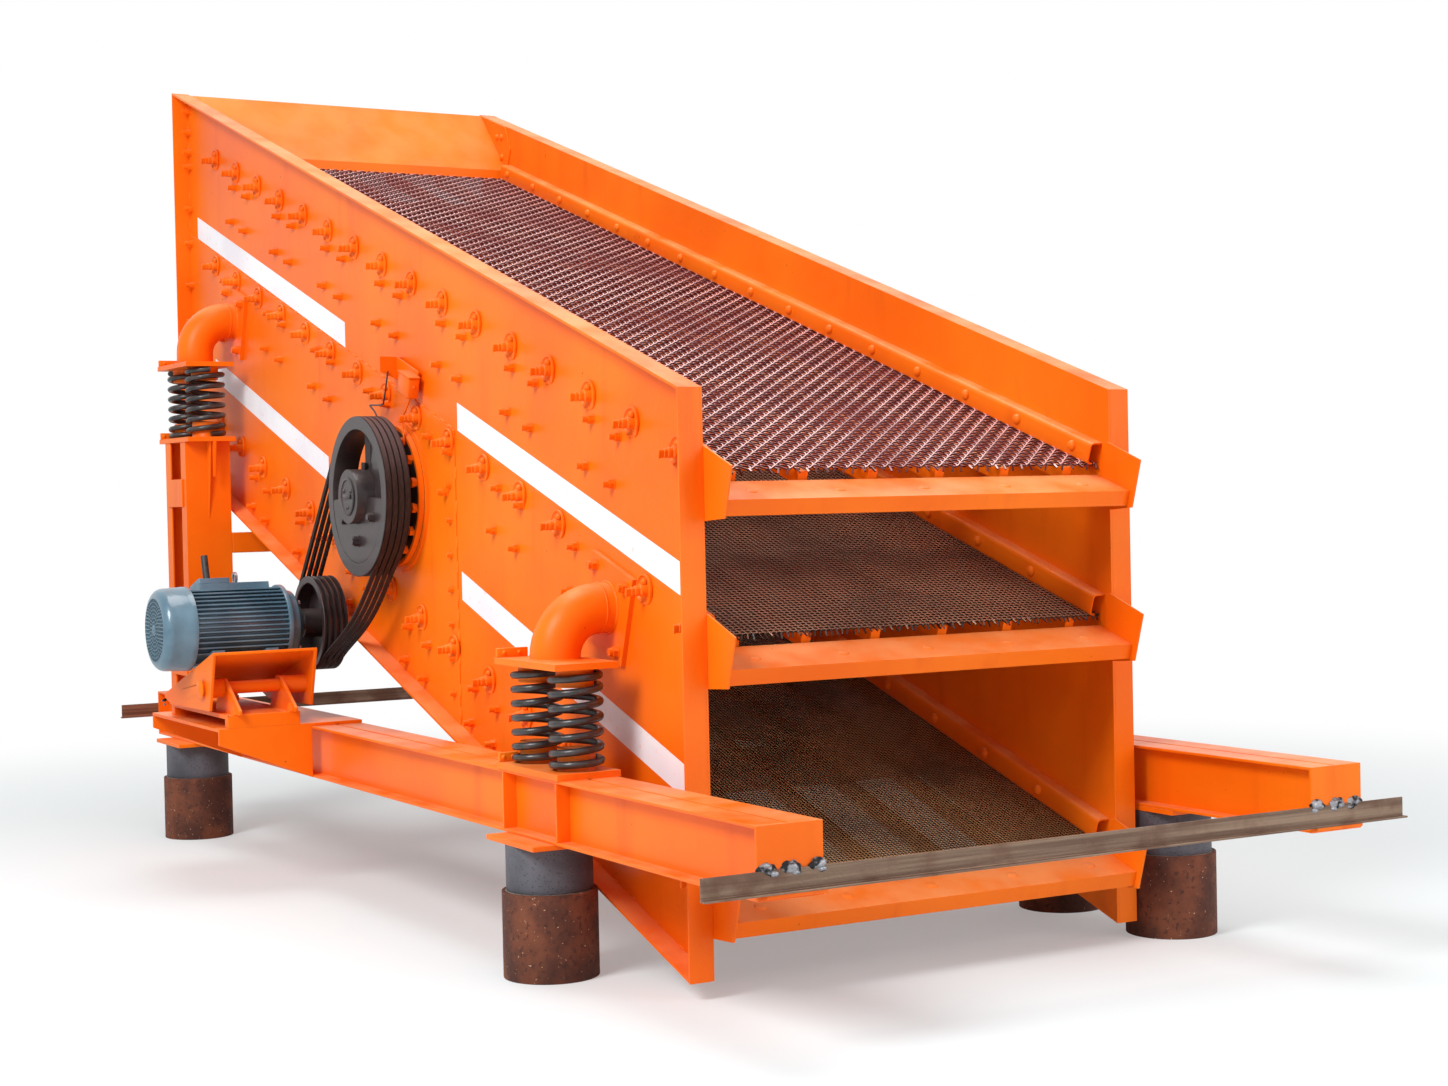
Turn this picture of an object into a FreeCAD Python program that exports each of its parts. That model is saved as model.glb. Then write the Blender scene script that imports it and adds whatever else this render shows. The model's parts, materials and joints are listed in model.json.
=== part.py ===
import FreeCAD, Part
import math
import os
import Sketcher
from FreeCAD import Vector

# Inclined three-deck vibrating sieve for stone, sand and other bulk goods.
# A screen box on coil springs stands on two twin-beam rails.  An eccentric shaft shakes it,
# driven by V-belts from a motor on a hinged cradle.
# Millimetres and degrees.  X runs across the machine, Y from the discharge end up to the feed
# end, Z up.  Each place is first worked out from the machine's own datum, which is its centre
# plane, the floor and the y of the rails; the last step moves it to the middle of the base.

doc = FreeCAD.newDocument("vibrating_sieve")
sheet = doc.addObject("Spreadsheet::Sheet", "Sizes")

SIZES = {
    # screen box
    "incline": 18.5,
    "box_half_width": 920,
    "plate_wall": 10,
    "edge_flange": 90,
    "plate_front": -1950,
    "plate_rear": 4070,
    "plate_above_shaft": 1240,
    "plate_below_shaft": 770,
    "shaft_y": 894,
    "shaft_z": 1830,
    "doubler_wall": 6,
    "doubler_front": 250,
    "doubler_above_shaft": 470,
    # decks, each given by the height of its cloth above the shaft's axis, square to the deck
    "top_deck": 930,
    "middle_deck": 362,
    "bottom_deck": -485,
    "deck_rear_gap": 406,
    "beam_pitch": 753,
    "middle_beam": 354,
    "beam_width": 120,
    "beam_depth": 150,
    "beam_wall": 8,
    "beam_end_wall": 12,
    "beam_end_length": 300,
    "beam_end_depth": 246,
    "beams_per_side": 3,
    "bar_width": 40,
    "bar_depth": 55,
    "bar_count": 6,
    "cloth_gap": 3,
    "cloth_strip": 40,
    "cells_along": 20,
    "top_wire": 6,
    "middle_wire": 4,
    "bottom_wire": 3,
    "clamp_width": 62,
    "clamp_height": 95,
    "clamp_wall": 6,
    "lip_reach": 140,
    "lip_seat": 70,
    "lip_sink": 30,
    "lip_drop": 62,
    "lip_wall": 8,
    "lip_beam_width": 70,
    "lip_beam_depth": 90,
    "cheek_wall": 8,
    "cheek_seat": 34,
    "cheek_reach": 195,
    "cheek_rise": 150,
    "cheek_fall": 93,
    "cheek_foot": 110,
    "cheek_nose": 75,
    "cheek_toe": 139,
    "cheek_skew": 8,
    # feed end
    "back_foot": 400,
    "back_lean": 360,
    "back_wall": 8,
    "feed_strip_height": 60,
    "bracket_wall": 8,
    # exciter
    "exciter_tube_radius": 200,
    "exciter_tube_wall": 12,
    "ring_radius": 350,
    "ring_wall": 18,
    "housing_radius": 325,
    "housing_flange": 24,
    "housing_boss_radius": 190,
    "housing_boss": 28,
    "bearing_radius": 140,
    "bearing_wall": 60,
    "shaft_radius": 60,
    "shaft_fit": 0.05,
    "shaft_clear": 3,
    "spigot_clear": 0.3,
    "eccentric_radius": 110,
    "eccentric_offset": 22,
    # belt drive
    "wheel_radius": 367.5,
    "wheel_clear": 30,
    "wheel_width": 120,
    "wheel_rim": 60,
    "wheel_web": 24,
    "wheel_hub_radius": 125,
    "wheel_hub_proud": 42,
    "window_angle": 150,
    "weight_wall": 46,
    "weight_angle": 175,
    "motor_wheel_hub_proud": 35,
    "groove_taper": 0.34,
    "motor_wheel_radius": 227.25,
    "motor_wheel_hub_radius": 70,
    "belt_count": 4,
    "belt_pitch": 29,
    "belt_width": 22,
    "belt_depth": 14,
    "belt_proud": 1,
    "groove_depth": 19,
    "groove_gap": 0.6,
    # rails and bars
    "rail_clear": 251.5,
    "rail_height": 240,
    "beam_flange": 118,
    "rail_seam": 11,
    "flange_wall": 11,
    "web_wall": 8,
    "rail_front": -2900,
    "rail_rear": 3710,
    "end_plate": 12,
    "tie_bar_over": 205,
    "tie_bar_height": 75,
    "tie_bar_ledge": 32,
    "tie_bar_wall": 7,
    "tie_bar_rise": 22,
    "rear_tie_bar_rise": 100,
    "stiffener_spread": 235,
    # stands
    "stand_shift": 43.5,
    "stand_radius": 182,
    "stand_wall": 14,
    "stand_pipe": 330,
    "stand_block": 175,
    "stand_block_radius": 165,
    "pad": 20,
    "pad_length": 420,
    "extra_stand_y": -1930,
    # spring supports
    "support_front": -1220,
    "support_rear": 3250,
    "seat_width": 262,
    "seat_length": 540,
    "seat_wall": 25,
    "spring_pitch": 330,
    "spring_radius": 94,
    "wire_radius": 12,
    "wire_sides": 6,
    "wire_steps": 9,
    "spring_clear": 0.3,
    "spring_height": 378,
    "spring_turns": 6.5,
    "stub_radius": 72,
    "stub_height": 55,
    "column_length": 370,
    "column_flange": 90,
    "column_wall": 10,
    "column_height": 1385,
    "batten_height": 150,
    "batten_rise": 120,
    "batten_gap": 200,
    "fin_plate_reach": 62,
    "fin_plate_height": 420,
    "tie_height": 110,
    "tie_width": 110,
    "tie_z": 1545,
    "elbow_radius": 97,
    "elbow_bend": 180,
    "front_elbow_rise": 6,
    "rear_elbow_rise": 60,
    "elbow_flange": 350,
    "elbow_flange_wall": 20,
    # motor and cradle
    "motor_y": 1586,
    "motor_z": 1224,
    "cradle_tilt": 16.7,
    "shaft_height": 204,
    "frame_length": 440,
    "cowl_radius": 199,
    "cowl_length": 155,
    "cowl_wall": 4,
    "fin_radius": 192,
    "fin_depth": 20,
    "fins_per_side": 7,
    "fin_pitch": 22,
    "bell_clear": 60,
    "bell_length": 100,
    "bell_shoulder": 65,
    "bell_shoulder_radius": 160,
    "bell_nose_radius": 103,
    "bell_radius": 172,
    "motor_shaft_radius": 30,
    "cradle_clear": 40,
    "cradle_length": 500,
    "cradle_wall": 15,
    "cradle_front": 352,
    "cradle_rear": 483,
    "cheek_front_drop": 226,
    "cheek_rear_drop": 60,
    "cheek_front_inset": 151,
    "cheek_rear_inset": 97,
    "pivot_y": 1350,
    "pivot_z": 953,
    "pivot_radius": 30,
    "boss_radius": 43,
    "ear_wall": 15,
    "ear_out_inset": 110,
    "ear_in_inset": 140,
    "base_wall": 20,
    "bracket_margin": 45,
    "bracket_front": 1160,
    "bracket_rear": 2240,
    "bracket_plate": 15,
    "gusset_wall": 14,
    "gusset_nose": 60,
    "riser_height": 40,
    "riser_width": 50,
    "base_margin": 40,
    "base_rear": 2060,
    "ear_front": 230,
    "ear_rear": 130,
    "boss_clear": 0.3,
    "foot_width": 60,
    "foot_half_length": 160,
    "foot_inset": 60,
    "foot_height": 54,
    "fin_wall": 7,
    "saddle_length": 340,
    "saddle_width": 150,
    "saddle_rise": 6,
    "saddle_wall": 40,
    "terminal_length": 150,
    "terminal_height": 26,
    "conduit_radius": 16.5,
    "conduit_height": 140,
    "eye_gap": 45,
    "eye_radius": 28,
    "eye_hole": 16,
    "eye_wall": 12,
    "eye_neck": 14,
    "stator_radius": 150,
    "stator_length": 220,
    "stator_x": 110,
    "rotor_radius": 98,
    "air_gap": 1,
    "shaft_inset": 20,
    "fan_inset": 24,
    "end_wall": 15,
    "bell_lip": 22,
    "cowl_vent": 150,
    "cowl_round": 40,
    "cowl_facet": 13,
    "cowl_facet_drop": 10,
    "fan_radius": 150,
    "fan_length": 60,
    "fan_blades": 7,
    "fan_hub_radius": 52,
    "bell_eye_radius": 60,
    # lubrication box
    "lube_length": 260,
    "lube_depth": 100,
    "lube_height": 110,
    "lube_lid": 12,
    "lube_above_shaft": 545,
}

for row, (name, number) in enumerate(SIZES.items(), 1):
    sheet.set(f"A{row}", name)
    sheet.set(f"B{row}", str(number))
    sheet.setAlias(f"B{row}", name)
doc.recompute()


class Size:
    """A length that knows its number and the sheet formula that gives it."""

    def __init__(self, number, text):
        self.number = number
        self.text = text

    def join(self, other, sign, number):
        return Size(number, f"({self.text} {sign} {as_size(other).text})")

    def __add__(self, other):
        return self.join(other, "+", self.number + as_size(other).number)

    def __sub__(self, other):
        return self.join(other, "-", self.number - as_size(other).number)

    def __mul__(self, other):
        return self.join(other, "*", self.number * as_size(other).number)

    def __truediv__(self, other):
        return self.join(other, "/", self.number / as_size(other).number)

    def __neg__(self):
        return Size(-self.number, f"(0 - {self.text})")

    def __radd__(self, other):
        return as_size(other) + self

    def __rsub__(self, other):
        return as_size(other) - self

    def __rmul__(self, other):
        return as_size(other) * self


def as_size(value):
    return value if isinstance(value, Size) else Size(value, repr(value))


def cell(name):
    return Size(float(sheet.get(name)), f"Sizes.{name}")


def cos(angle):
    return Size(math.cos(math.radians(angle.number)), f"cos({angle.text})")


def sin(angle):
    return Size(math.sin(math.radians(angle.number)), f"sin({angle.text})")


def root(size):
    return Size(math.sqrt(size.number), f"sqrt({size.text})")


class Cells:
    """Each size of the sheet by its name, as in d.rail_height."""

    def __getattr__(self, name):
        return cell(name)


d = Cells()
slope_cos = cos(d.incline)
slope_sin = sin(d.incline)
slope_tan = slope_sin / slope_cos

# Across the machine, each place is worked outwards from the side plates.
outer_x = d.box_half_width + d.plate_wall
rail_x = d.box_half_width + d.rail_clear
pair_half = d.beam_flange + d.rail_seam / 2
rail_outside = rail_x + pair_half
stand_x = rail_x + d.stand_shift
tie_bar_reach = rail_outside + d.tie_bar_over
wheel_inside = outer_x + d.ring_wall + d.housing_flange + d.housing_boss + d.wheel_clear
wheel_face = wheel_inside + d.wheel_width
bell_end = wheel_face + d.bell_clear
fin_end = bell_end + d.bell_length
frame_start = fin_end + d.frame_length
motor_reach = frame_start + d.cowl_length
cradle_in = bell_end + d.cradle_clear
cradle_out = cradle_in + d.cradle_length
ear_out = cradle_out - d.ear_out_inset
ear_in = cradle_in + d.ear_in_inset
bracket_reach = ear_out + d.ear_wall + d.base_margin + d.bracket_margin

# The origin is the middle of the bounding box's base.
origin_x = (tie_bar_reach - motor_reach) / 2
origin_y = (d.plate_rear + d.rail_front - d.tie_bar_ledge) / 2


def bind(thing, prop, size):
    thing.setExpression(prop, as_size(size).text)


def place(thing, x=0, y=0, z=0, axis=(1, 0, 0), angle=0):
    """Put a piece at a place of the machine's datum, turned about one axis."""
    turned = as_size(angle)
    thing.Placement = FreeCAD.Placement(Vector(0, 0, 0), FreeCAD.Rotation(Vector(*axis), 1))
    bind(thing, "Placement.Base.x", x - origin_x)
    bind(thing, "Placement.Base.y", y - origin_y)
    bind(thing, "Placement.Base.z", z)
    bind(thing, "Placement.Rotation.Angle", turned)
    return thing


def place_on_deck(thing, x=0, along=0, above=0):
    """Put a piece by its distances along and above the shaft's axis, turned with the deck."""
    y = d.shaft_y + along * slope_cos - above * slope_sin
    z = d.shaft_z + along * slope_sin + above * slope_cos
    return place(thing, x, y, z, angle=d.incline)


def place_on_cradle(thing, x=0, along=0, above=0):
    """Put a piece by its distances along and above the motor's axis, turned with the cradle."""
    tilt_cos = cos(d.cradle_tilt)
    tilt_sin = sin(d.cradle_tilt)
    y = d.motor_y + along * tilt_cos + above * tilt_sin
    z = d.motor_z - along * tilt_sin + above * tilt_cos
    return place(thing, x, y, z, angle=-d.cradle_tilt)


def box(name, length, width, height):
    piece = doc.addObject("Part::Box", name)
    bind(piece, "Length", length)
    bind(piece, "Width", width)
    bind(piece, "Height", height)
    return piece


def cylinder(name, radius, height, angle=360):
    piece = doc.addObject("Part::Cylinder", name)
    bind(piece, "Radius", radius)
    bind(piece, "Height", height)
    bind(piece, "Angle", angle)
    return piece


def cut(name, base, tool):
    piece = doc.addObject("Part::Cut", name)
    piece.Base = base
    piece.Tool = tool
    return piece


def fuse(name, pieces):
    piece = doc.addObject("Part::MultiFuse", name)
    piece.Shapes = pieces
    piece.Refine = True
    return piece


def group(name, pieces):
    piece = doc.addObject("Part::Compound", name)
    piece.Links = pieces
    return piece


def mirrored(name, piece):
    """The same piece on the right-hand side of the centre plane."""
    copy = doc.addObject("Part::Mirroring", name)
    copy.Source = piece
    copy.Normal = Vector(1, 0, 0)
    bind(copy, "Base.x", -origin_x)
    return copy


def pair(name, piece):
    return group(name, [piece, mirrored(name + "_right", piece)])


def origin_plane(body, role):
    return [feature for feature in body.Origin.OriginFeatures if feature.Role == role][0]


def sketch_on(body, role, name, outlines, circles=()):
    """A sketch of closed outlines and circles, every corner bound to the sheet."""
    sketch = body.newObject("Sketcher::SketchObject", name)
    sketch.AttachmentSupport = (origin_plane(body, role), [""])
    sketch.MapMode = "FlatFace"
    bound = []
    for corners in outlines:
        first = sketch.GeometryCount
        count = len(corners)
        spots = [Vector(as_size(a).number, as_size(b).number, 0) for a, b in corners]
        for i in range(count):
            sketch.addGeometry(Part.LineSegment(spots[i], spots[(i + 1) % count]), False)
        for i in range(count):
            following = first + (i + 1) % count
            sketch.addConstraint(Sketcher.Constraint("Coincident", first + i, 2, following, 1))
            for kind, size in zip(("DistanceX", "DistanceY"), corners[i]):
                number = as_size(size).number
                fixed = Sketcher.Constraint(kind, -1, 1, first + i, 1, number)
                bound.append((sketch.addConstraint(fixed), size))
    for a, b, radius in circles:
        centre = Vector(as_size(a).number, as_size(b).number, 0)
        ring = sketch.addGeometry(Part.Circle(centre, Vector(0, 0, 1), radius.number), False)
        for kind, size in zip(("DistanceX", "DistanceY"), (a, b)):
            fixed = Sketcher.Constraint(kind, -1, 1, ring, 3, as_size(size).number)
            bound.append((sketch.addConstraint(fixed), size))
        around = sketch.addConstraint(Sketcher.Constraint("Radius", ring, radius.number))
        bound.append((around, radius))
    for index, size in bound:
        bind(sketch, f"Constraints[{index}]", size)
    return sketch


def pad(body, sketch, length, reverse=False):
    feature = body.newObject("PartDesign::Pad", sketch.Name + "_pad")
    feature.Profile = sketch
    bind(feature, "Length", length)
    feature.Reversed = reverse
    return feature


def section(name, role, length, outlines, circles=(), reverse=False):
    """A body drawn as a flat section and pulled to its length."""
    body = doc.addObject("PartDesign::Body", name)
    pad(body, sketch_on(body, role, name + "_section", outlines, circles), length, reverse)
    return body


def across(name, length, outlines, circles=()):
    """Drawn in y and z, pulled along +X."""
    return section(name, "YZ_Plane", length, outlines, circles)


def along(name, length, outlines, circles=()):
    """Drawn in x and z, pulled along +Y."""
    return section(name, "XZ_Plane", length, outlines, circles, reverse=True)


def turned(name, outlines):
    """Drawn as x and radius, turned about the X axis."""
    body = doc.addObject("PartDesign::Body", name)
    sketch = sketch_on(body, "XY_Plane", name + "_profile", outlines)
    feature = body.newObject("PartDesign::Revolution", name + "_turn")
    feature.Profile = sketch
    feature.ReferenceAxis = (sketch, ["H_Axis"])
    feature.Angle = 360
    return body


def lying(name, radius, length, x, y, z):
    """A cylinder along X that starts at x."""
    return place(cylinder(name, radius, length), x, y, z, axis=(0, 1, 0), angle=90)


nodes = []


def node(piece, name):
    piece.Label = name
    nodes.append(piece)
    return piece


# Side plates, each with a flat bar welded on along its four edges, standing outwards.


def on_slope(y, above):
    """Height at y of a line that runs with the deck, this far above the shaft's axis."""
    return d.shaft_z + above / slope_cos + (y - d.shaft_y) * slope_tan


def sloped_outline(front, rear, below, above):
    return [
        (front, on_slope(front, below)),
        (rear, on_slope(rear, below)),
        (rear, on_slope(rear, above)),
        (front, on_slope(front, above)),
    ]


plate_low = -d.plate_below_shaft
plate_high = d.plate_above_shaft
plate_outline = sloped_outline(d.plate_front, d.plate_rear, plate_low, plate_high)
exciter_hole = [(d.shaft_y, d.shaft_z, d.exciter_tube_radius)]
left_plate = across("left_plate", d.plate_wall, [plate_outline], exciter_hole)
node(place(left_plate, -outer_x), "left_side_plate")
node(mirrored("right_plate", left_plate), "right_side_plate")

flange_low = plate_low + d.plate_wall
flange_high = plate_high - d.plate_wall
flange_spans = {
    "bottom": (d.plate_front, d.plate_rear, plate_low, flange_low),
    "top": (d.plate_front, d.plate_rear, flange_high, plate_high),
    "front": (d.plate_front, d.plate_front + d.plate_wall, flange_low, flange_high),
    "rear": (d.plate_rear - d.plate_wall, d.plate_rear, flange_low, flange_high),
}
edge_flanges = []
for name, span in flange_spans.items():
    flange = across(name + "_flange", d.edge_flange, [sloped_outline(*span)])
    place(flange, -outer_x - d.edge_flange)
    edge_flanges += [flange, mirrored(name + "_flange_right", flange)]
node(group("flange_group", edge_flanges), "edge_flanges")

# A second plate is laid on the outside of each side plate, from the feed end to past the shaft.

doubler_outline = sloped_outline(
    d.doubler_front,
    d.plate_rear - d.plate_wall,
    flange_low,
    d.doubler_above_shaft,
)
doubler_hole = [(d.shaft_y, d.shaft_z, d.ring_radius)]
left_doubler = across("doubler", d.doubler_wall, [doubler_outline], doubler_hole)
place(left_doubler, -outer_x - d.doubler_wall)
node(pair("doublers", left_doubler), "side_doublers")

# Decks: cross beams with bolted end plates, lengthwise bars that crown the cloth, the cloth,
# and a clamp rail along each side.

inside_width = d.box_half_width * 2


def front_of(above):
    """Where a deck at this height meets the plates' front edge, measured along the deck."""
    return (d.plate_front - d.shaft_y) / slope_cos + above * slope_tan


def rear_of(above):
    return (d.plate_rear - d.shaft_y - d.deck_rear_gap) / slope_cos + above * slope_tan


def cross_beam(name, spot, deck):
    low = deck - d.bar_depth - d.beam_depth
    inner = inside_width - d.beam_end_wall * 2
    shell = box(name + "_shell", inner, d.beam_width, d.beam_depth)
    hollow = box(
        name + "_hollow", inner, d.beam_width - d.beam_wall * 2, d.beam_depth - d.beam_wall * 2
    )
    left = d.beam_end_wall - d.box_half_width
    place_on_deck(shell, left, spot - d.beam_width / 2, low)
    place_on_deck(hollow, left, spot - d.beam_width / 2 + d.beam_wall, low + d.beam_wall)
    tube = cut(name + "_tube", shell, hollow)
    plate = box(name + "_end", d.beam_end_wall, d.beam_end_length, d.beam_end_depth)
    middle = low + d.beam_depth / 2
    end_low = middle - d.beam_end_depth / 2
    place_on_deck(plate, -d.box_half_width, spot - d.beam_end_length / 2, end_low)
    return [tube, plate, mirrored(name + "_end_right", plate)]


def screen_sheet(name, length, wall):
    """A cloth: a sheet with a plain grid of openings, its strips on the deck bars and between."""
    width = inside_width - d.cloth_gap * 2
    sheet = box(name + "_sheet", width, length, wall)
    strip = d.cloth_strip
    pitch = inside_width / d.bar_count
    lefts = [d.clamp_width + strip / 2] + [pitch * (i + 0.5) + strip / 2 for i in range(SIZES["bar_count"])]
    rights = [inside_width - left for left in reversed(lefts)]
    rows = []
    step = (length - strip) / SIZES["cells_along"]
    for number in range(SIZES["cells_along"]):
        for left, right in zip(lefts, rights):
            size = Vector((right - left).number, (step - strip).number, wall.number)
            corner = Vector((left - d.cloth_gap).number, (strip + step * number).number, 0)
            rows.append(Part.makeBox(size.x, size.y, size.z, corner))
    openings = doc.addObject("Part::Feature", name + "_openings")
    openings.Shape = Part.makeCompound(rows)
    return cut(name + "_screen", sheet, openings)


def deck(name, above, cloth_wall):
    reach = SIZES["beams_per_side"]
    spots = [d.middle_beam + d.beam_pitch * step for step in range(-reach, reach + 1)]
    beams = []
    for number, spot in enumerate(spots, 1):
        beams += cross_beam(f"{name}_beam_{number}", spot, above)

    start = front_of(above) + d.lip_seat + d.cloth_gap
    length = rear_of(above) - start
    bars = []
    pitch = inside_width / d.bar_count
    for number in range(SIZES["bar_count"]):
        bar = box(f"{name}_bar_{number + 1}", d.bar_width, length, d.bar_depth)
        left = pitch * (number + 0.5) - d.box_half_width - d.bar_width / 2
        place_on_deck(bar, left, start, above - d.bar_depth)
        bars.append(bar)

    cloth = screen_sheet(name, length, cloth_wall)
    node(place_on_deck(cloth, d.cloth_gap - d.box_half_width, start, above), name + "_cloth")

    foot = above + cloth_wall
    wall = d.clamp_wall
    inner = d.clamp_width
    profile = [
        (0, d.clamp_height - wall),
        (inner - wall, d.clamp_height - wall),
        (inner - wall, 0),
        (inner, 0),
        (inner, d.clamp_height),
        (0, d.clamp_height),
    ]
    rail = along(name + "_clamp", length, [profile])
    place_on_deck(rail, -d.box_half_width, start, foot)
    return beams, bars, [rail, mirrored(name + "_clamp_right", rail)]


CLOTH_WIRES = {"top": d.top_wire, "middle": d.middle_wire, "bottom": d.bottom_wire}
DECKS = {"top": d.top_deck, "middle": d.middle_deck, "bottom": d.bottom_deck}
cross_beams = []
deck_bars = []
clamp_rails = []
for deck_name, deck_height in DECKS.items():
    beams, bars, rails = deck(deck_name, deck_height, CLOTH_WIRES[deck_name])
    cross_beams += beams
    deck_bars += bars
    clamp_rails += rails
node(group("bar_group", deck_bars), "deck_bars")
node(group("clamp_group", clamp_rails), "clamp_rails")

# Discharge lips: a folded plate at the end of each deck, on a beam, between two cheeks.


def lip(name, above):
    front = front_of(above) - d.lip_reach
    seat = d.lip_reach + d.lip_seat
    profile = [
        (0, -d.lip_drop),
        (d.lip_wall, -d.lip_drop),
        (d.lip_wall, -d.lip_wall),
        (seat, -d.lip_wall),
        (seat, 0),
        (0, 0),
    ]
    width = inside_width - d.cheek_wall * 2
    left = d.cheek_wall - d.box_half_width
    plate = across(name + "_plate", width, [profile])
    place_on_deck(plate, left, front, above)
    beam = box(name + "_lip_bar", width, d.lip_beam_width, d.lip_beam_depth)
    shift = d.lip_reach - d.lip_beam_width / 2
    place_on_deck(beam, left, front + shift, above - d.lip_wall - d.lip_beam_depth)
    return plate, beam


def lip_cheek(name, above):
    z = on_slope(d.plate_front, above)
    outline = [
        (d.cheek_seat, -d.cheek_fall),
        (d.cheek_seat, d.cheek_rise),
        (0, d.cheek_rise),
        (-d.cheek_reach, d.cheek_nose),
        (-d.cheek_toe, -d.cheek_foot),
        (0, -d.cheek_foot - d.cheek_skew),
    ]
    cheek = across(name, d.cheek_wall, [outline])
    place(cheek, -d.box_half_width, d.plate_front, z)
    return [cheek, mirrored(name + "_right", cheek)]


lips = []
cheeks = []
for deck_name, deck_height in DECKS.items():
    lip_height = deck_height - d.lip_sink
    lip_plate, lip_beam = lip(deck_name, lip_height)
    lips.append(lip_plate)
    cross_beams.append(lip_beam)
    cheeks += lip_cheek(deck_name + "_cheek", lip_height)
node(group("lip_group", lips), "discharge_lips")
node(group("beam_group", cross_beams), "deck_cross_beams")
node(group("cheek_group", cheeks), "lip_cheeks")

# Feed end: a back plate that leans outwards at its top, its two side brackets and the strip
# that closes the gap to the top cloth.

foot_y = d.plate_rear - d.back_foot
foot_z = on_slope(foot_y, d.top_deck) + d.feed_strip_height
head_y = foot_y + d.back_lean
head_z = on_slope(head_y, d.plate_above_shaft)
back_outline = [
    (foot_y, foot_z),
    (foot_y + d.back_wall, foot_z),
    (head_y + d.back_wall, head_z),
    (head_y, head_z),
]
back_plate = across("back", inside_width, [back_outline])
node(place(back_plate, -d.box_half_width), "back_plate")

strip_outline = [
    (0, 0),
    (d.back_wall, 0),
    (d.back_wall, d.feed_strip_height - d.back_wall),
    (d.feed_strip_height, d.feed_strip_height - d.back_wall),
    (d.feed_strip_height, d.feed_strip_height),
    (0, d.feed_strip_height),
]
strip = across("strip", inside_width, [strip_outline])
strip_z = foot_z - d.feed_strip_height
node(place(strip, -d.box_half_width, foot_y, strip_z), "feed_strip")

bracket_outline = [
    (foot_y, foot_z),
    (head_y, head_z),
    (foot_y + d.bracket_wall, head_z - d.back_lean * slope_tan),
    (foot_y - d.feed_strip_height, foot_z + d.feed_strip_height * 2),
]
bracket = across("bracket", d.bracket_wall, [bracket_outline])
node(pair("brackets", place(bracket, -d.box_half_width)), "back_brackets")

# Upstands that stop the lower decks spilling at the feed end.


def upstand(name, above):
    back = box(name, inside_width, d.back_wall, d.clamp_height * 2)
    return place_on_deck(back, -d.box_half_width, rear_of(above) + d.cloth_gap, above)


node(
    group("upstands", [upstand("middle_back", d.middle_deck), upstand("bottom_back", d.bottom_deck)]),
    "rear_upstands",
)

# Exciter: a tube between the side plates, a reinforcing ring and a flanged bearing housing on
# each side, and inside them the bearings and the eccentric shaft.



def on_shaft(name, radius, length, x):
    return lying(name, radius, length, x, d.shaft_y, d.shaft_z)


tube_inside = d.exciter_tube_radius - d.exciter_tube_wall
tube_outer = on_shaft("tube_outer", d.exciter_tube_radius, inside_width, -d.box_half_width)
tube_bore = on_shaft("tube_bore", tube_inside, inside_width, -d.box_half_width)
node(cut("exciter_pipe", tube_outer, tube_bore), "exciter_tube")

ring_x = outer_x + d.ring_wall
ring_disc = on_shaft("ring_disc", d.ring_radius, d.ring_wall, -ring_x)
ring_bore = on_shaft("ring_bore", d.exciter_tube_radius, d.ring_wall, -ring_x)
node(pair("rings", cut("ring", ring_disc, ring_bore)), "reinforcing_rings")

# The housing's spigot reaches in through the side plate and holds the bearing.
spigot = d.plate_wall + d.ring_wall + d.bearing_wall
running = d.shaft_radius + d.shaft_clear
spigot_radius = tube_inside - d.spigot_clear
housing_profile = [
    (-d.housing_flange - d.housing_boss, running),
    (-d.housing_flange, running),
    (-d.housing_flange, d.bearing_radius),
    (spigot, d.bearing_radius),
    (spigot, spigot_radius),
    (0, spigot_radius),
    (0, d.housing_radius),
    (-d.housing_flange, d.housing_radius),
    (-d.housing_flange - d.housing_boss, d.housing_boss_radius),
]
housing = turned("housing", [housing_profile])
place(housing, -ring_x, d.shaft_y, d.shaft_z)
node(pair("housings", housing), "bearing_housings")

bearing_profile = [
    (0, d.shaft_radius + d.shaft_fit),
    (d.bearing_wall, d.shaft_radius + d.shaft_fit),
    (d.bearing_wall, d.bearing_radius),
    (0, d.bearing_radius),
]
bearing = turned("bearing", [bearing_profile])
place(bearing, -ring_x, d.shaft_y, d.shaft_z)
node(pair("bearing_pair", bearing), "exciter_bearings")

# The rotor: shaft with an eccentric middle, drive pulley, flywheel and their bolted weights.

wheel_out = wheel_face + d.wheel_hub_proud
straight = on_shaft("shaft_straight", d.shaft_radius, wheel_out * 2, -wheel_out)
eccentric_half = d.box_half_width - d.bearing_wall * 2
eccentric = lying(
    "shaft_eccentric",
    d.eccentric_radius,
    eccentric_half * 2,
    -eccentric_half,
    d.shaft_y,
    d.shaft_z - d.eccentric_offset,
)
node(fuse("shaft_body", [straight, eccentric]), "exciter_shaft")

web_rear = d.wheel_width / 2 + d.wheel_web / 2
web_front = web_rear - d.wheel_web


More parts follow.
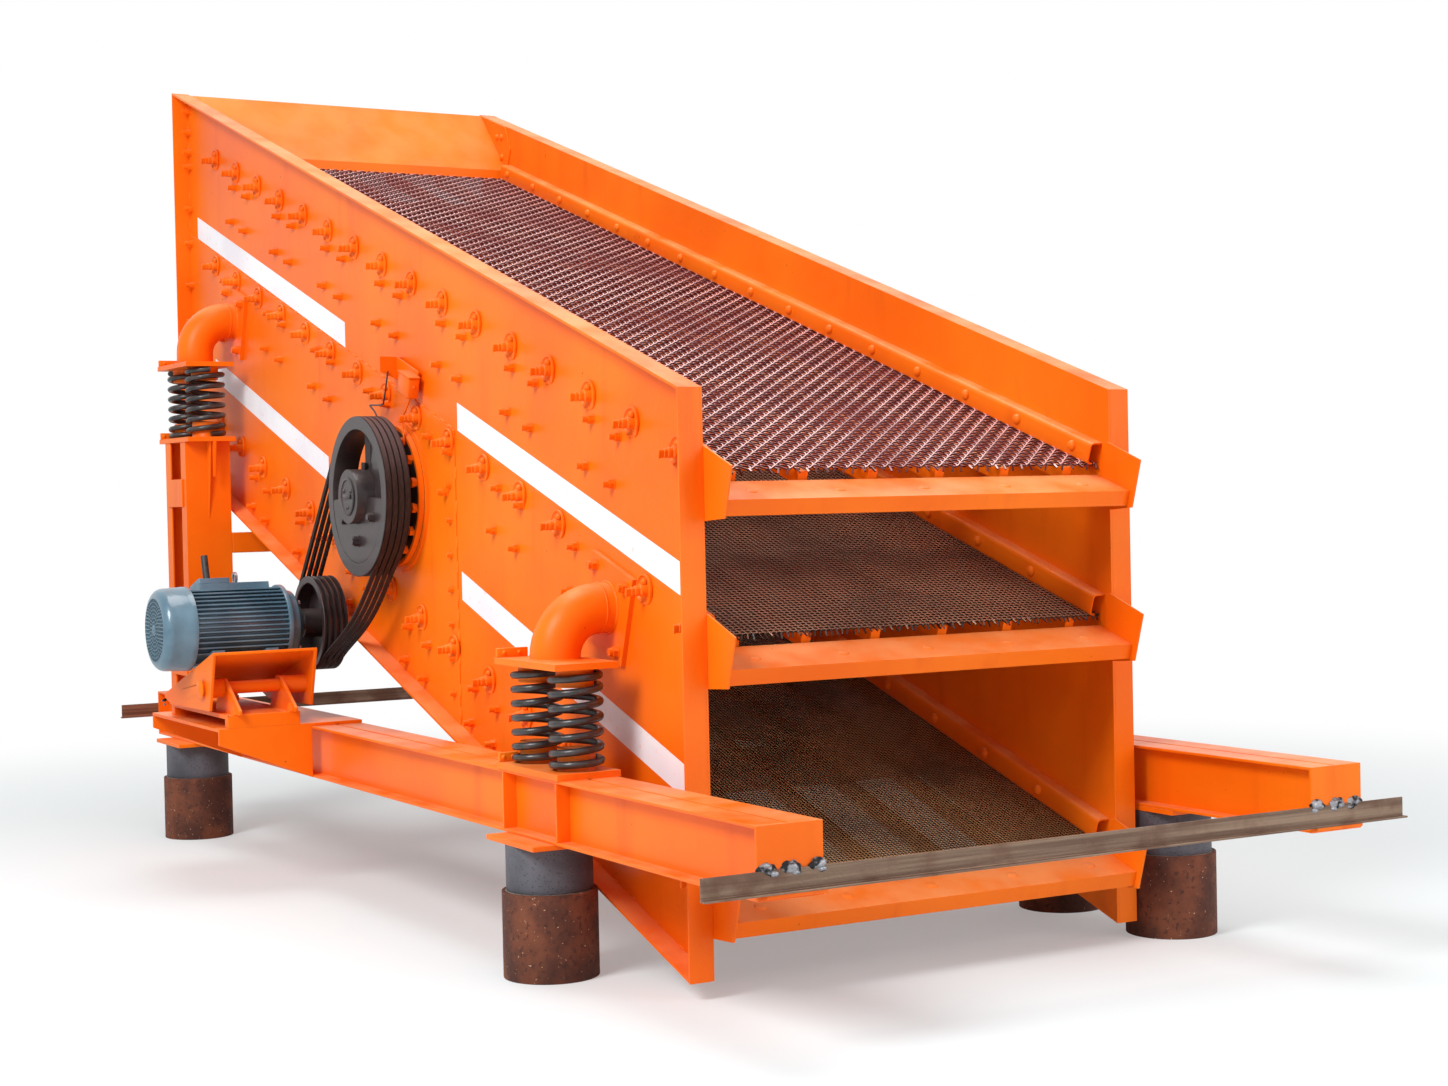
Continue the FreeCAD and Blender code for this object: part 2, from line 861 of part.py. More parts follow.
def wheel(name, radius, hub_radius, hub_proud, bore, belts):
    """A wheel turned about X; its outboard face is at x = 0 and its hub stands out of it."""
    width = d.wheel_width
    rim = radius - d.wheel_rim
    profile = [(web_front, rim), (0, rim), (0, radius)]
    first = (width - d.belt_pitch * (belts - 1)) / 2
    half_top = d.belt_width / 2 + d.groove_gap
    half_foot = half_top - d.groove_depth * d.groove_taper
    for number in range(belts):
        middle = first + d.belt_pitch * number
        profile += [
            (middle - half_top, radius),
            (middle - half_foot, radius - d.groove_depth),
            (middle + half_foot, radius - d.groove_depth),
            (middle + half_top, radius),
        ]
    profile += [
        (width, radius),
        (width, rim),
        (web_rear, rim),
        (web_rear, hub_radius),
        (width, hub_radius),
        (width, bore),
        (-hub_proud, bore),
        (-hub_proud, hub_radius),
        (web_front, hub_radius),
    ]
    return turned(name, [profile])


def web_sector(name, angle, middle, wall, start):
    """A ring sector between the wheel's rim and hub, centred on an angle from straight down."""
    sector = cylinder(name + "_disc", d.wheel_radius - d.wheel_rim, wall, angle)
    core = cylinder(name + "_core", d.wheel_hub_radius, wall)
    for piece, spin in ((sector, middle - angle.number / 2), (core, 0)):
        place(piece, start - wheel_face, d.shaft_y, d.shaft_z, angle=90)
        facing = FreeCAD.Rotation(Vector(0, 1, 0), 90)
        piece.setExpression("Placement.Rotation.Angle", None)
        piece.Placement.Rotation = facing * FreeCAD.Rotation(Vector(0, 0, 1), spin)
    return cut(name, sector, core)


def loaded_wheel(name, belts):
    """A wheel with its upper web cut open, and the weight bolted on its lower web."""
    bore = d.shaft_radius + d.shaft_fit
    hub = d.wheel_hub_proud
    blank = wheel(name + "_blank", d.wheel_radius, d.wheel_hub_radius, hub, bore, belts)
    place(blank, -wheel_face, d.shaft_y, d.shaft_z)
    window = web_sector(name + "_window", d.window_angle, 180, d.wheel_web, web_front)
    weight = web_sector(name + "_load", d.weight_angle, 0, d.weight_wall, web_front - d.weight_wall)
    return cut(name + "_wheel", blank, window), weight


drive_wheel, drive_weight = loaded_wheel("drive", SIZES["belt_count"])
node(drive_wheel, "drive_pulley")
fly_wheel, fly_weight = loaded_wheel("fly", 0)
node(mirrored("fly_right", fly_wheel), "flywheel")
node(group("weights", [drive_weight, mirrored("fly_load_right", fly_weight)]), "eccentric_weights")

# Spring supports: on the front of each rail, and on a column at the rear of each rail.

stand_top = d.stand_pipe + d.stand_block
rail_bottom = stand_top + d.pad
rail_top = rail_bottom + d.rail_height
column_top = rail_top + d.column_height


def seat(name, y, z, stub_z, stub_y=0):
    """A spring seat with a guide stub for each of its two springs."""
    plate = box(name + "_plate", d.seat_width, d.seat_length, d.seat_wall)
    place(plate, -rail_x - d.seat_width / 2, y - d.seat_length / 2, z)
    stubs = []
    for number, side in enumerate((-0.5, 0.5), 1):
        stub = cylinder(f"{name}_stub_{number}", d.stub_radius, d.stub_height)
        stubs.append(place(stub, -rail_x, y + d.spring_pitch * side, stub_z))
    return fuse(name, [plate] + stubs)


def spring_support(name, y, foot):
    spring_foot = foot + d.seat_wall
    spring_head = spring_foot + d.spring_height
    lower = seat(name + "_lower", y, foot, spring_foot)
    upper = seat(name + "_upper", y, spring_head, spring_head - d.stub_height)
    lower_seats.extend([lower, mirrored(name + "_lower_right", lower)])
    upper_seats.extend([upper, mirrored(name + "_upper_right", upper)])
    return spring_foot, spring_head + d.seat_wall


def spring_shape():
    """One coil spring standing on z = 0: round wire, drawn with few enough sides to stay light."""
    sides = SIZES["wire_sides"]
    radius = SIZES["spring_radius"]
    wire = SIZES["wire_radius"]
    turns = SIZES["spring_turns"]
    low = wire + SIZES["spring_clear"]
    rise = SIZES["spring_height"] - low * 2
    steps = round(turns * SIZES["wire_steps"])
    rings = []
    for step in range(steps + 1):
        around = 2 * math.pi * turns * step / steps
        middle = low + rise * step / steps
        ring = []
        for side in range(sides + 1):
            angle = 2 * math.pi * (side + 0.5) / sides
            reach = radius + wire * math.cos(angle)
            height = middle + wire * math.sin(angle)
            ring.append(Vector(reach * math.cos(around), reach * math.sin(around), height))
        rings.append(Part.makePolygon(ring))
    return Part.makeLoft(rings, True, True)


def springs(name, y, z):
    """The four springs of the front or rear supports."""
    spring = spring_shape()
    reach = rail_x.number
    half = SIZES["spring_pitch"] / 2
    coils = []
    for x in (-reach, reach):
        for shift in (-half, half):
            coils.append(spring.translated(Vector(x, shift, 0)))
    feature = doc.addObject("Part::Feature", name + "_coils")
    feature.Shape = Part.makeCompound(coils)
    node(place(feature, 0, y, z), name + "_springs")


def elbow(name, y, foot, rise, outside):
    """The bent pipe that carries the screen box: a bend, a square flange and an upright."""
    bend_x = d.elbow_bend - rail_x
    axis_z = foot + rise + d.elbow_bend
    bend = doc.addObject("Part::Torus", name + "_bend")
    bind(bend, "Radius1", d.elbow_bend)
    bind(bend, "Radius2", d.elbow_radius)
    bend.Angle3 = 90
    place(bend, bend_x, y, foot + rise)
    bend.setExpression("Placement.Rotation.Angle", None)
    upright = FreeCAD.Rotation(Vector(1, 0, 0), 90)
    bend.Placement.Rotation = upright * FreeCAD.Rotation(Vector(0, 0, 1), 90)
    flange_x = -outside - d.elbow_flange_wall
    level = lying(name + "_level", d.elbow_radius, flange_x - bend_x, bend_x, y, axis_z)
    post = cylinder(name + "_post", d.elbow_radius, rise)
    pieces = [bend, level, place(post, -rail_x, y, foot)]
    flange = box(name + "_flange", d.elbow_flange_wall, d.elbow_flange, d.elbow_flange)
    half = d.elbow_flange / 2
    corner_y = y - half * slope_cos + half * slope_sin
    corner_z = axis_z - half * slope_sin - half * slope_cos
    pieces.append(place(flange, flange_x, corner_y, corner_z, angle=d.incline))
    body = fuse(name, pieces)
    return [body, mirrored(name + "_right", body)]


lower_seats = []
upper_seats = []
front_foot, front_head = spring_support("front", d.support_front, rail_top)
springs("front", d.support_front, front_foot)
elbows = elbow("front_elbow", d.support_front, front_head, d.front_elbow_rise, outer_x)
rear_foot, rear_head = spring_support("rear", d.support_rear, column_top)
springs("rear", d.support_rear, rear_foot)
doubled_x = outer_x + d.doubler_wall
elbows += elbow("rear_elbow", d.support_rear, rear_head, d.rear_elbow_rise, doubled_x)
node(group("elbow_group", elbows), "support_elbows")
node(group("lower_seat_group", lower_seats), "lower_spring_seats")
node(group("upper_seat_group", upper_seats), "upper_spring_seats")

# Rails: two I-beams side by side on each side of the machine, closed by an end plate.

beam_length = d.rail_rear - d.rail_front - d.end_plate * 2


def i_beam(name, left):
    width = d.beam_flange
    web_left = (d.beam_flange - d.web_wall) / 2
    web_right = web_left + d.web_wall
    top = d.rail_height - d.flange_wall
    outline = [
        (0, 0),
        (width, 0),
        (width, d.flange_wall),
        (web_right, d.flange_wall),
        (web_right, top),
        (width, top),
        (width, d.rail_height),
        (0, d.rail_height),
        (0, top),
        (web_left, top),
        (web_left, d.flange_wall),
        (0, d.flange_wall),
    ]
    beam = along(name, beam_length, [outline])
    return place(beam, left, d.rail_front + d.end_plate, rail_bottom)


outer_beam = i_beam("outer_beam", -rail_x - pair_half)
inner_beam = i_beam("inner_beam", d.rail_seam / 2 - rail_x)
left_beams = node(group("left_beams", [outer_beam, inner_beam]), "left_rail_beams")
node(mirrored("right_beams", left_beams), "right_rail_beams")


def end_plate(name, y):
    plate = box(name, pair_half * 2, d.end_plate, d.rail_height)
    plate = place(plate, -rail_x - pair_half, y, rail_bottom)
    return [plate, mirrored(name + "_right", plate)]


end_plates = end_plate("front_end", d.rail_front)
end_plates += end_plate("rear_end", d.rail_rear - d.end_plate)

stiffeners = []
recess = (d.beam_flange - d.web_wall) / 2
stiffener_spots = (
    d.support_front - d.stiffener_spread,
    d.support_front + d.stiffener_spread,
    d.support_rear,
)
for number, spot in enumerate(stiffener_spots, 1):
    height = d.rail_height - d.flange_wall * 2
    plate = box(f"stiffener_{number}", recess, d.end_plate, height)
    place(plate, -rail_x - pair_half, spot - d.end_plate / 2, rail_bottom + d.flange_wall)
    stiffeners += [plate, mirrored(f"stiffener_right_{number}", plate)]
node(group("rail_plate_group", end_plates + stiffeners), "rail_plates")

# Plain steel angle bars tie the two rails together at both ends.


def tie_bar(name, y, z, outwards):
    wall = d.tie_bar_wall * outwards
    ledge = d.tie_bar_ledge * outwards
    outline = [
        (0, 0),
        (ledge, 0),
        (ledge, d.tie_bar_wall),
        (wall, d.tie_bar_wall),
        (wall, d.tie_bar_height),
        (0, d.tie_bar_height),
    ]
    bar = across(name, tie_bar_reach * 2, [outline])
    node(place(bar, -tie_bar_reach, y, z), name + "_tie_bar")


tie_bar("front", d.rail_front, rail_bottom + d.tie_bar_rise, -1)
tie_bar("rear", d.rail_rear, rail_bottom + d.rear_tie_bar_rise, 1)

# Rear columns: two channels with their flanges face to face, joined by batten plates, and a
# box-section tie that runs between the columns under the screen box.

column_y = d.support_rear - d.column_length / 2


def channel(name, y, inwards):
    width = pair_half * 2
    wall = d.column_wall
    flange = d.column_flange * inwards
    web = wall * inwards
    outline = [
        (0, 0),
        (width, 0),
        (width, flange),
        (width - wall, flange),
        (width - wall, web),
        (wall, web),
        (wall, flange),
        (0, flange),
    ]
    body = section(name, "XY_Plane", d.column_height, [outline])
    return place(body, -rail_x - pair_half, y, rail_top)


def batten(name, x, z):
    plate = box(name, d.column_wall, d.column_length - d.column_flange, d.batten_height)
    return place(plate, x, column_y + d.column_flange / 2, z)


front_channel = channel("front_channel", column_y, 1)
rear_channel = channel("rear_channel", column_y + d.column_length, -1)
batten_low = rail_top + d.batten_rise
batten_high = column_top - d.batten_gap - d.batten_height
outer_batten_x = -rail_x - pair_half - d.column_wall
inner_batten_x = pair_half - rail_x
battens = [
    batten("outer_batten_low", outer_batten_x, batten_low),
    batten("outer_batten_high", outer_batten_x, batten_high),
    batten("inner_batten_high", inner_batten_x, batten_high),
]


def column_rib(name, y, outwards):
    """A tapered rib on the column's face, under the overhang of the spring seat."""
    reach = d.fin_plate_reach * outwards
    outline = [(0, 0), (reach, d.fin_plate_height), (0, d.fin_plate_height)]
    rib = across(name, d.column_wall, [outline])
    return place(rib, -rail_x - d.column_wall / 2, y, column_top - d.fin_plate_height)


ribs = [
    column_rib("front_rib", column_y, -1),
    column_rib("rear_rib", column_y + d.column_length, 1),
]
left_column = group("column_left", [front_channel, rear_channel] + battens + ribs)
node(left_column, "left_column")
node(mirrored("column_right", left_column), "right_column")

tie_half = rail_x - pair_half
tie_shell = box("tie_shell", tie_half * 2, d.tie_width, d.tie_height)
place(tie_shell, -tie_half, column_y, d.tie_z)
tie_hollow = box(
    "tie_hollow", tie_half * 2, d.tie_width - d.beam_wall * 2, d.tie_height - d.beam_wall * 2
)
place(tie_hollow, -tie_half, column_y + d.beam_wall, d.tie_z + d.beam_wall)
node(cut("tie", tie_shell, tie_hollow), "column_tie")

# Stands: a filled steel pipe, a block on it, and a pad under the rail.


def stand(name, x, y):
    pipe = place(cylinder(name + "_outside", d.stand_radius, d.stand_pipe), x, y)
    bore = place(cylinder(name + "_inside", d.stand_radius - d.stand_wall, d.stand_pipe), x, y)
    core = place(cylinder(name + "_core", d.stand_radius - d.stand_wall, d.stand_pipe), x, y)
    block = cylinder(name + "_block", d.stand_block_radius, d.stand_block)
    place(block, x, y, d.stand_pipe)
    return cut(name + "_pipe", pipe, bore), core, block


def rail_pad(name, y):
    inside = rail_x - pair_half
    plate = box(name, stand_x + d.stand_block_radius - inside, d.pad_length, d.pad)
    return place(plate, inside, y - d.pad_length / 2, stand_top)


stands = [
    stand("stand_front_left", -stand_x, d.support_front),
    stand("stand_rear_left", -stand_x, d.support_rear),
    stand("stand_front_right", stand_x, d.support_front),
    stand("stand_rear_right", stand_x, d.support_rear),
    stand("stand_extra_right", stand_x, d.extra_stand_y),
]
stand_nodes = ("stand_pipes", "stand_cores", "stand_blocks")
for name, pieces in zip(stand_nodes, zip(*stands)):
    node(group(name + "_group", list(pieces)), name)
front_pad = rail_pad("front_pad", d.support_front)
rear_pad = rail_pad("rear_pad", d.support_rear)
pads = [front_pad, rear_pad, mirrored("front_pad_left", front_pad), mirrored("rear_pad_left", rear_pad)]
node(group("pad_group", pads + [rail_pad("extra_pad", d.extra_stand_y)]), "rail_pads")

# Motor bracket: a platform on the left rail that reaches outwards on two gussets.

bracket_top = rail_top + d.bracket_plate
platform = box(
    "platform",
    bracket_reach - rail_x + pair_half,
    d.bracket_rear - d.bracket_front,
    d.bracket_plate,
)
place(platform, -bracket_reach, d.bracket_front, rail_top)
gussets = []
gusset_outline = [
    (0, d.rail_height),
    (0, d.rail_height - d.gusset_nose),
    (bracket_reach - rail_outside, 0),
    (bracket_reach - rail_outside, d.rail_height),
]
for number, y in enumerate((d.bracket_front, d.bracket_rear - d.gusset_wall), 1):
    gusset = along(f"gusset_{number}", d.gusset_wall, [gusset_outline])
    gussets.append(place(gusset, -bracket_reach, y, rail_bottom))
node(fuse("bracket_body", [platform] + gussets), "motor_bracket")

# Cradle base: a plate on two risers, with two ears that hold the pivot tube.

base_x = -ear_out - d.ear_wall - d.base_margin
base_length = ear_out + d.ear_wall - ear_in + d.base_margin * 2
base_z = bracket_top + d.riser_height
base_plate = box("base_plate", base_length, d.base_rear - d.bracket_front, d.base_wall)
place(base_plate, base_x, d.bracket_front, base_z)
risers = []
for number, y in enumerate((d.bracket_front, d.base_rear - d.riser_width), 1):
    riser = box(f"riser_{number}", base_length, d.riser_width, d.riser_height)
    risers.append(place(riser, base_x, y, bracket_top))

ear_foot = base_z + d.base_wall
pivot_rise = d.pivot_z - ear_foot
ear_outline = [
    (-d.ear_front, 0),
    (d.ear_rear, 0),
    (d.boss_radius, pivot_rise + d.boss_radius),
    (-d.boss_radius / 2, pivot_rise + d.boss_radius),
    (-d.ear_front, d.base_wall),
]
pivot_hole = d.pivot_radius + d.shaft_fit
ears = []
for number, x in enumerate((-ear_out - d.ear_wall, -ear_in), 1):
    ear = across(f"ear_{number}", d.ear_wall, [ear_outline], [(0, pivot_rise, pivot_hole)])
    ears.append(place(ear, x, d.pivot_y, ear_foot))
node(fuse("base_body", [base_plate] + risers + ears), "cradle_base")

pivot_length = cradle_out - cradle_in + d.cradle_wall * 2
pivot_x = -cradle_out - d.cradle_wall
tube = lying("pivot", d.pivot_radius, pivot_length, pivot_x, d.pivot_y, d.pivot_z)
node(tube, "pivot_tube")

# Motor cradle: a tilting plate with a cheek at each end that hangs on the pivot tube.

tilt_cos = cos(d.cradle_tilt)
tilt_sin = sin(d.cradle_tilt)
pivot_along = (d.pivot_y - d.motor_y) * tilt_cos - (d.pivot_z - d.motor_z) * tilt_sin
pivot_above = (d.pivot_y - d.motor_y) * tilt_sin + (d.pivot_z - d.motor_z) * tilt_cos
plate_foot = -d.shaft_height - d.cradle_wall
cradle_plate = box(
    "cradle_top", cradle_out - cradle_in, d.cradle_front + d.cradle_rear, d.cradle_wall
)
place_on_cradle(cradle_plate, -cradle_out, -d.cradle_front, plate_foot)
cheek_outline = [
    (-d.cradle_front, plate_foot),
    (d.cheek_front_inset - d.cradle_front, plate_foot - d.cheek_front_drop),
    (d.cradle_rear - d.cheek_rear_inset, plate_foot - d.cheek_rear_drop),
    (d.cradle_rear, plate_foot),
]
cradle_cheeks = []
for number, x in enumerate((-cradle_out, -cradle_in - d.ear_wall), 1):
    hole = [(pivot_along, pivot_above, pivot_hole)]
    cheek = across(f"cradle_cheek_{number}", d.ear_wall, [cheek_outline], hole)
    cradle_cheeks.append(place_on_cradle(cheek, x))

boss_spans = (
    (d.ear_wall - cradle_out, -ear_out - d.ear_wall - d.boss_clear),
    (d.ear_wall + d.boss_clear - ear_in, -cradle_in - d.ear_wall),
)
bosses = []
for number, (start, end) in enumerate(boss_spans, 1):
    ring = lying(f"boss_{number}_outside", d.boss_radius, end - start, start, d.pivot_y, d.pivot_z)
    bore = lying(f"boss_{number}_bore", pivot_hole, end - start, start, d.pivot_y, d.pivot_z)
    bosses.append(cut(f"boss_{number}", ring, bore))
node(fuse("cradle_body", [cradle_plate] + cradle_cheeks + bosses), "motor_cradle")

# Motor: finned frame on two feet, fan cowl, end bell, terminal box, lifting eye and conduit.

core_radius = d.fin_radius - d.fin_depth


def on_axis(name, radius, length, x):
    return lying(name, radius, length, x, d.motor_y, d.motor_z)


def fin(name, step):
    """One flat that runs right through the frame and stands out of both its sides as a fin."""
    rise = d.fin_pitch * step
    reach = root(d.fin_radius * d.fin_radius - rise * rise)
    flat = box(name, d.frame_length, reach * 2, d.fin_wall)
    return place_on_cradle(flat, -frame_start, -reach, rise - d.fin_wall / 2)


fin_steps = range(-SIZES["fins_per_side"], SIZES["fins_per_side"] + 1)
fins = [fin(f"fin_{number}", step) for number, step in enumerate(fin_steps)]
feet = []
for number, x in enumerate((d.foot_inset - frame_start, -fin_end - d.foot_inset - d.foot_width), 1):
    foot = box(f"motor_foot_{number}", d.foot_width, d.foot_half_length * 2, d.foot_height)
    feet.append(place_on_cradle(foot, x, -d.foot_half_length, -d.shaft_height))
saddle = box("saddle", d.saddle_length, d.saddle_width, d.saddle_wall)
saddle_x = d.foot_inset - frame_start
saddle_top = d.fin_radius + d.saddle_rise
place_on_cradle(saddle, saddle_x, -d.saddle_width / 2, saddle_top - d.saddle_wall)
frame_core = on_axis("frame_core", core_radius, d.frame_length, -frame_start)
frame_solid = fuse("frame_solid", [frame_core, saddle] + fins + feet)
inside = on_axis("frame_inside", d.stator_radius, d.frame_length - d.end_wall, d.end_wall - frame_start)
axle_hole = on_axis("axle_hole", d.motor_shaft_radius + d.shaft_fit, d.frame_length, -frame_start)
node(cut("frame_bored", frame_solid, fuse("frame_voids", [inside, axle_hole])), "motor_frame")

stator_outside = on_axis("stator_outside", d.stator_radius, d.stator_length, d.stator_x - frame_start)
stator_bore = on_axis("stator_bore", d.rotor_radius + d.air_gap, d.stator_length, d.stator_x - frame_start)
node(cut("stator_ring", stator_outside, stator_bore), "motor_stator")

cowl_profile = [
    (0, d.cowl_vent),
    (d.cowl_wall, d.cowl_vent),
    (d.cowl_wall, d.cowl_radius - d.cowl_round),
    (d.cowl_round, d.cowl_radius - d.cowl_wall),
    (d.cowl_length, d.cowl_radius - d.cowl_wall),
    (d.cowl_length, d.cowl_radius),
    (d.cowl_round, d.cowl_radius),
    (d.cowl_facet, d.cowl_radius - d.cowl_facet_drop),
    (0, d.cowl_radius - d.cowl_round),
]
cowl = turned("cowl", [cowl_profile])
node(place(cowl, -motor_reach, d.motor_y, d.motor_z), "fan_cowl")

grille_profile = [
    (0, 0),
    (d.cowl_wall, 0),
    (d.cowl_wall, d.cowl_vent),
    (0, d.cowl_vent),
]
grille = turned("grille", [grille_profile])
node(place(grille, -motor_reach, d.motor_y, d.motor_z), "cowl_grille")

rear_bell_x = -frame_start - d.end_wall
cowl_ring = on_axis("cowl_ring_outside", d.cowl_radius - d.cowl_wall, d.end_wall, rear_bell_x)
ring_hole = on_axis("cowl_ring_hole", d.bell_eye_radius, d.end_wall, rear_bell_x)
node(cut("cowl_ring", cowl_ring, ring_hole), "rear_end_bell")

bell_profile = [
    (0, d.rotor_radius),
    (0, d.fin_radius),
    (d.bell_lip, d.fin_radius),
    (d.bell_lip, d.bell_radius),
    (d.bell_shoulder, d.bell_shoulder_radius),
    (d.bell_length, d.bell_nose_radius),
    (d.bell_length, d.motor_shaft_radius + d.shaft_fit),
    (d.bell_length - d.bell_lip, d.motor_shaft_radius + d.shaft_fit),
    (d.bell_length - d.bell_lip, d.rotor_radius),
]
bell = turned("bell", [bell_profile])
node(place(bell, -fin_end, d.motor_y, d.motor_z), "drive_end_bell")

terminal = box("terminal", d.terminal_length, d.saddle_width, d.terminal_height)
node(place_on_cradle(terminal, saddle_x, -d.saddle_width / 2, saddle_top), "terminal_box")

conduit = cylinder("conduit", d.conduit_radius, d.conduit_height)
conduit_x = saddle_x + d.terminal_length / 2
conduit_foot = saddle_top + d.terminal_height
node(place_on_cradle(conduit, conduit_x, d.saddle_width / 4, conduit_foot), "conduit_stub")

eye_x = saddle_x + d.terminal_length + d.eye_gap
eye_z = saddle_top + d.eye_neck + d.eye_radius
eye_disc = cylinder("eye_disc", d.eye_radius, d.eye_wall)
eye_neck = box("eye_neck", d.eye_wall, d.eye_radius, d.eye_neck + d.eye_radius - d.eye_hole)
eye_hole = cylinder("eye_hole", d.eye_hole, d.eye_wall)


def crosswise(piece):
    """Turn an upright round piece so that its axis runs along X."""
    piece.setExpression("Placement.Rotation.Angle", None)
    piece.Placement.Rotation = FreeCAD.Rotation(Vector(0, 1, 0), 90)
    return piece


for piece in (eye_disc, eye_hole):
    crosswise(place_on_cradle(piece, eye_x, 0, eye_z))
place_on_cradle(eye_neck, eye_x, -d.eye_radius / 2, saddle_top)
eye = cut("eye", fuse("eye_solid", [eye_disc, eye_neck]), eye_hole)
node(eye, "lifting_eye")

# Motor rotor: shaft, core, fan and the grooved wheel.

motor_shaft_start = motor_reach - d.shaft_inset
axle_length = motor_shaft_start - wheel_inside
axle = on_axis("axle", d.motor_shaft_radius, axle_length, -motor_shaft_start)
node(axle, "motor_shaft")
rotor_outside = on_axis("rotor_outside", d.rotor_radius, d.stator_length, d.stator_x - frame_start)
rotor_bore = on_axis("rotor_bore", d.motor_shaft_radius, d.stator_length, d.stator_x - frame_start)
node(cut("rotor_body", rotor_outside, rotor_bore), "motor_rotor_core")

fan_x = d.fan_inset - motor_reach
blades = []
for i in range(SIZES["fan_blades"]):
    turn = as_size(360 / SIZES["fan_blades"] * i)
    blade = box(f"blade_{i}", d.fan_length, d.cowl_wall, d.fan_radius - d.motor_shaft_radius)
    y = d.motor_y - d.motor_shaft_radius * sin(turn)
    z = d.motor_z + d.motor_shaft_radius * cos(turn)
    blades.append(place(blade, fan_x, y, z, angle=turn))
fan_hub = on_axis("fan_hub", d.fan_hub_radius, d.fan_length, fan_x)
fan_bore = on_axis("fan_bore", d.motor_shaft_radius, d.fan_length, fan_x)
node(cut("fan_body", fuse("fan_solid", [fan_hub] + blades), fan_bore), "motor_fan")

motor_bore = d.motor_shaft_radius + d.shaft_fit
motor_wheel = wheel(
    "motor_wheel",
    d.motor_wheel_radius,
    d.motor_wheel_hub_radius,
    d.motor_wheel_hub_proud,
    motor_bore,
    SIZES["belt_count"],
)
node(place(motor_wheel, -wheel_face, d.motor_y, d.motor_z), "motor_pulley")

# V-belts: each runs round both wheels on its outer tangents.


def belt_shape(shift):
    """One belt, from a wedge section swept round the two arcs and the two straight runs."""
    top = SIZES["belt_proud"]
    wheels = (
        (SIZES["shaft_y"], SIZES["shaft_z"], SIZES["wheel_radius"] + top),
        (SIZES["motor_y"], SIZES["motor_z"], SIZES["motor_wheel_radius"] + top),
    )
    (y1, z1, big), (y2, z2, small) = wheels
    heading = math.atan2(z2 - z1, y2 - y1)
    spread = math.acos((big - small) / math.hypot(y2 - y1, z2 - z1))

    def spot(y, z, radius, angle):
        return Vector(shift, y + radius * math.cos(angle), z + radius * math.sin(angle))

    leave = spot(y1, z1, big, heading + spread)
    far = spot(y1, z1, big, heading + math.pi)
    enter = spot(y1, z1, big, heading - spread)
    meet = spot(y2, z2, small, heading - spread)
    near = spot(y2, z2, small, heading)
    part = spot(y2, z2, small, heading + spread)
    path = Part.Wire(
        [
            Part.Arc(leave, far, enter).toShape(),
            Part.LineSegment(enter, meet).toShape(),
            Part.Arc(meet, near, part).toShape(),
            Part.LineSegment(part, leave).toShape(),
        ]
    )
    half = SIZES["belt_width"] / 2
    depth = SIZES["belt_depth"]
    foot = half - depth * SIZES["groove_taper"]
    out = Vector(0, math.cos(heading + spread), math.sin(heading + spread))
    across_belt = Vector(1, 0, 0)
    corners = [
        leave - across_belt * half,
        leave + across_belt * half,
        leave + across_belt * foot - out * depth,
        leave - across_belt * foot - out * depth,
    ]
    wedge = Part.makePolygon(corners + corners[:1])
    return path.makePipeShell([wedge], True, False)


first_belt = (SIZES["wheel_width"] - SIZES["belt_pitch"] * (SIZES["belt_count"] - 1)) / 2
belt_shapes = []
for i in range(SIZES["belt_count"]):
    belt_shapes.append(belt_shape(first_belt + SIZES["belt_pitch"] * i - wheel_face.number))
belts = doc.addObject("Part::Feature", "belts")
belts.Shape = Part.makeCompound(belt_shapes)
node(place(belts), "v_belts")

# Lubrication box on the left side plate, above the shaft.

lube = box("lube", d.lube_depth, d.lube_length, d.lube_height)
place_on_deck(lube, -outer_x - d.lube_depth, -d.lube_length / 2, d.lube_above_shaft)
lid_over = d.lube_lid * 2
lid = box("lube_cover", d.lube_depth + lid_over, d.lube_length + lid_over * 2, d.lube_lid)
lid_above = d.lube_above_shaft + d.lube_height
place_on_deck(lid, -outer_x - d.lube_depth - lid_over, -d.lube_length / 2 - lid_over, lid_above)
node(fuse("lube_body", [lube, lid]), "lubrication_box")

doc.recompute()

for thing in doc.Objects:
    if "Invalid" in thing.State or "Error" in thing.State:
        raise SystemExit(f"{thing.Name} failed: {thing.State}")
for piece in nodes:
    if piece.Shape.isNull() or not piece.Shape.isValid():
        raise SystemExit(f"{piece.Label} has no valid shape")

os.makedirs("parts", exist_ok=True)
for piece in nodes:
    piece.Shape.exportStep(f"parts/{piece.Label}.step")
    solids = len(piece.Shape.Solids)
    print(f"{piece.Label}: {solids} solids, {piece.Shape.Volume / 1e6:.1f} litres")
size = Part.makeCompound([piece.Shape for piece in nodes]).BoundBox
print("nodes", len(nodes), "x", size.XMin, size.XMax, "y", size.YMin, size.YMax, "z", size.ZMin, size.ZMax)
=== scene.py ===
import bmesh
import bpy
import json
import random
from math import acos, atan2, cos, hypot, pi, radians, sin, sqrt, tan, tau
from mathutils import Matrix, Vector, noise

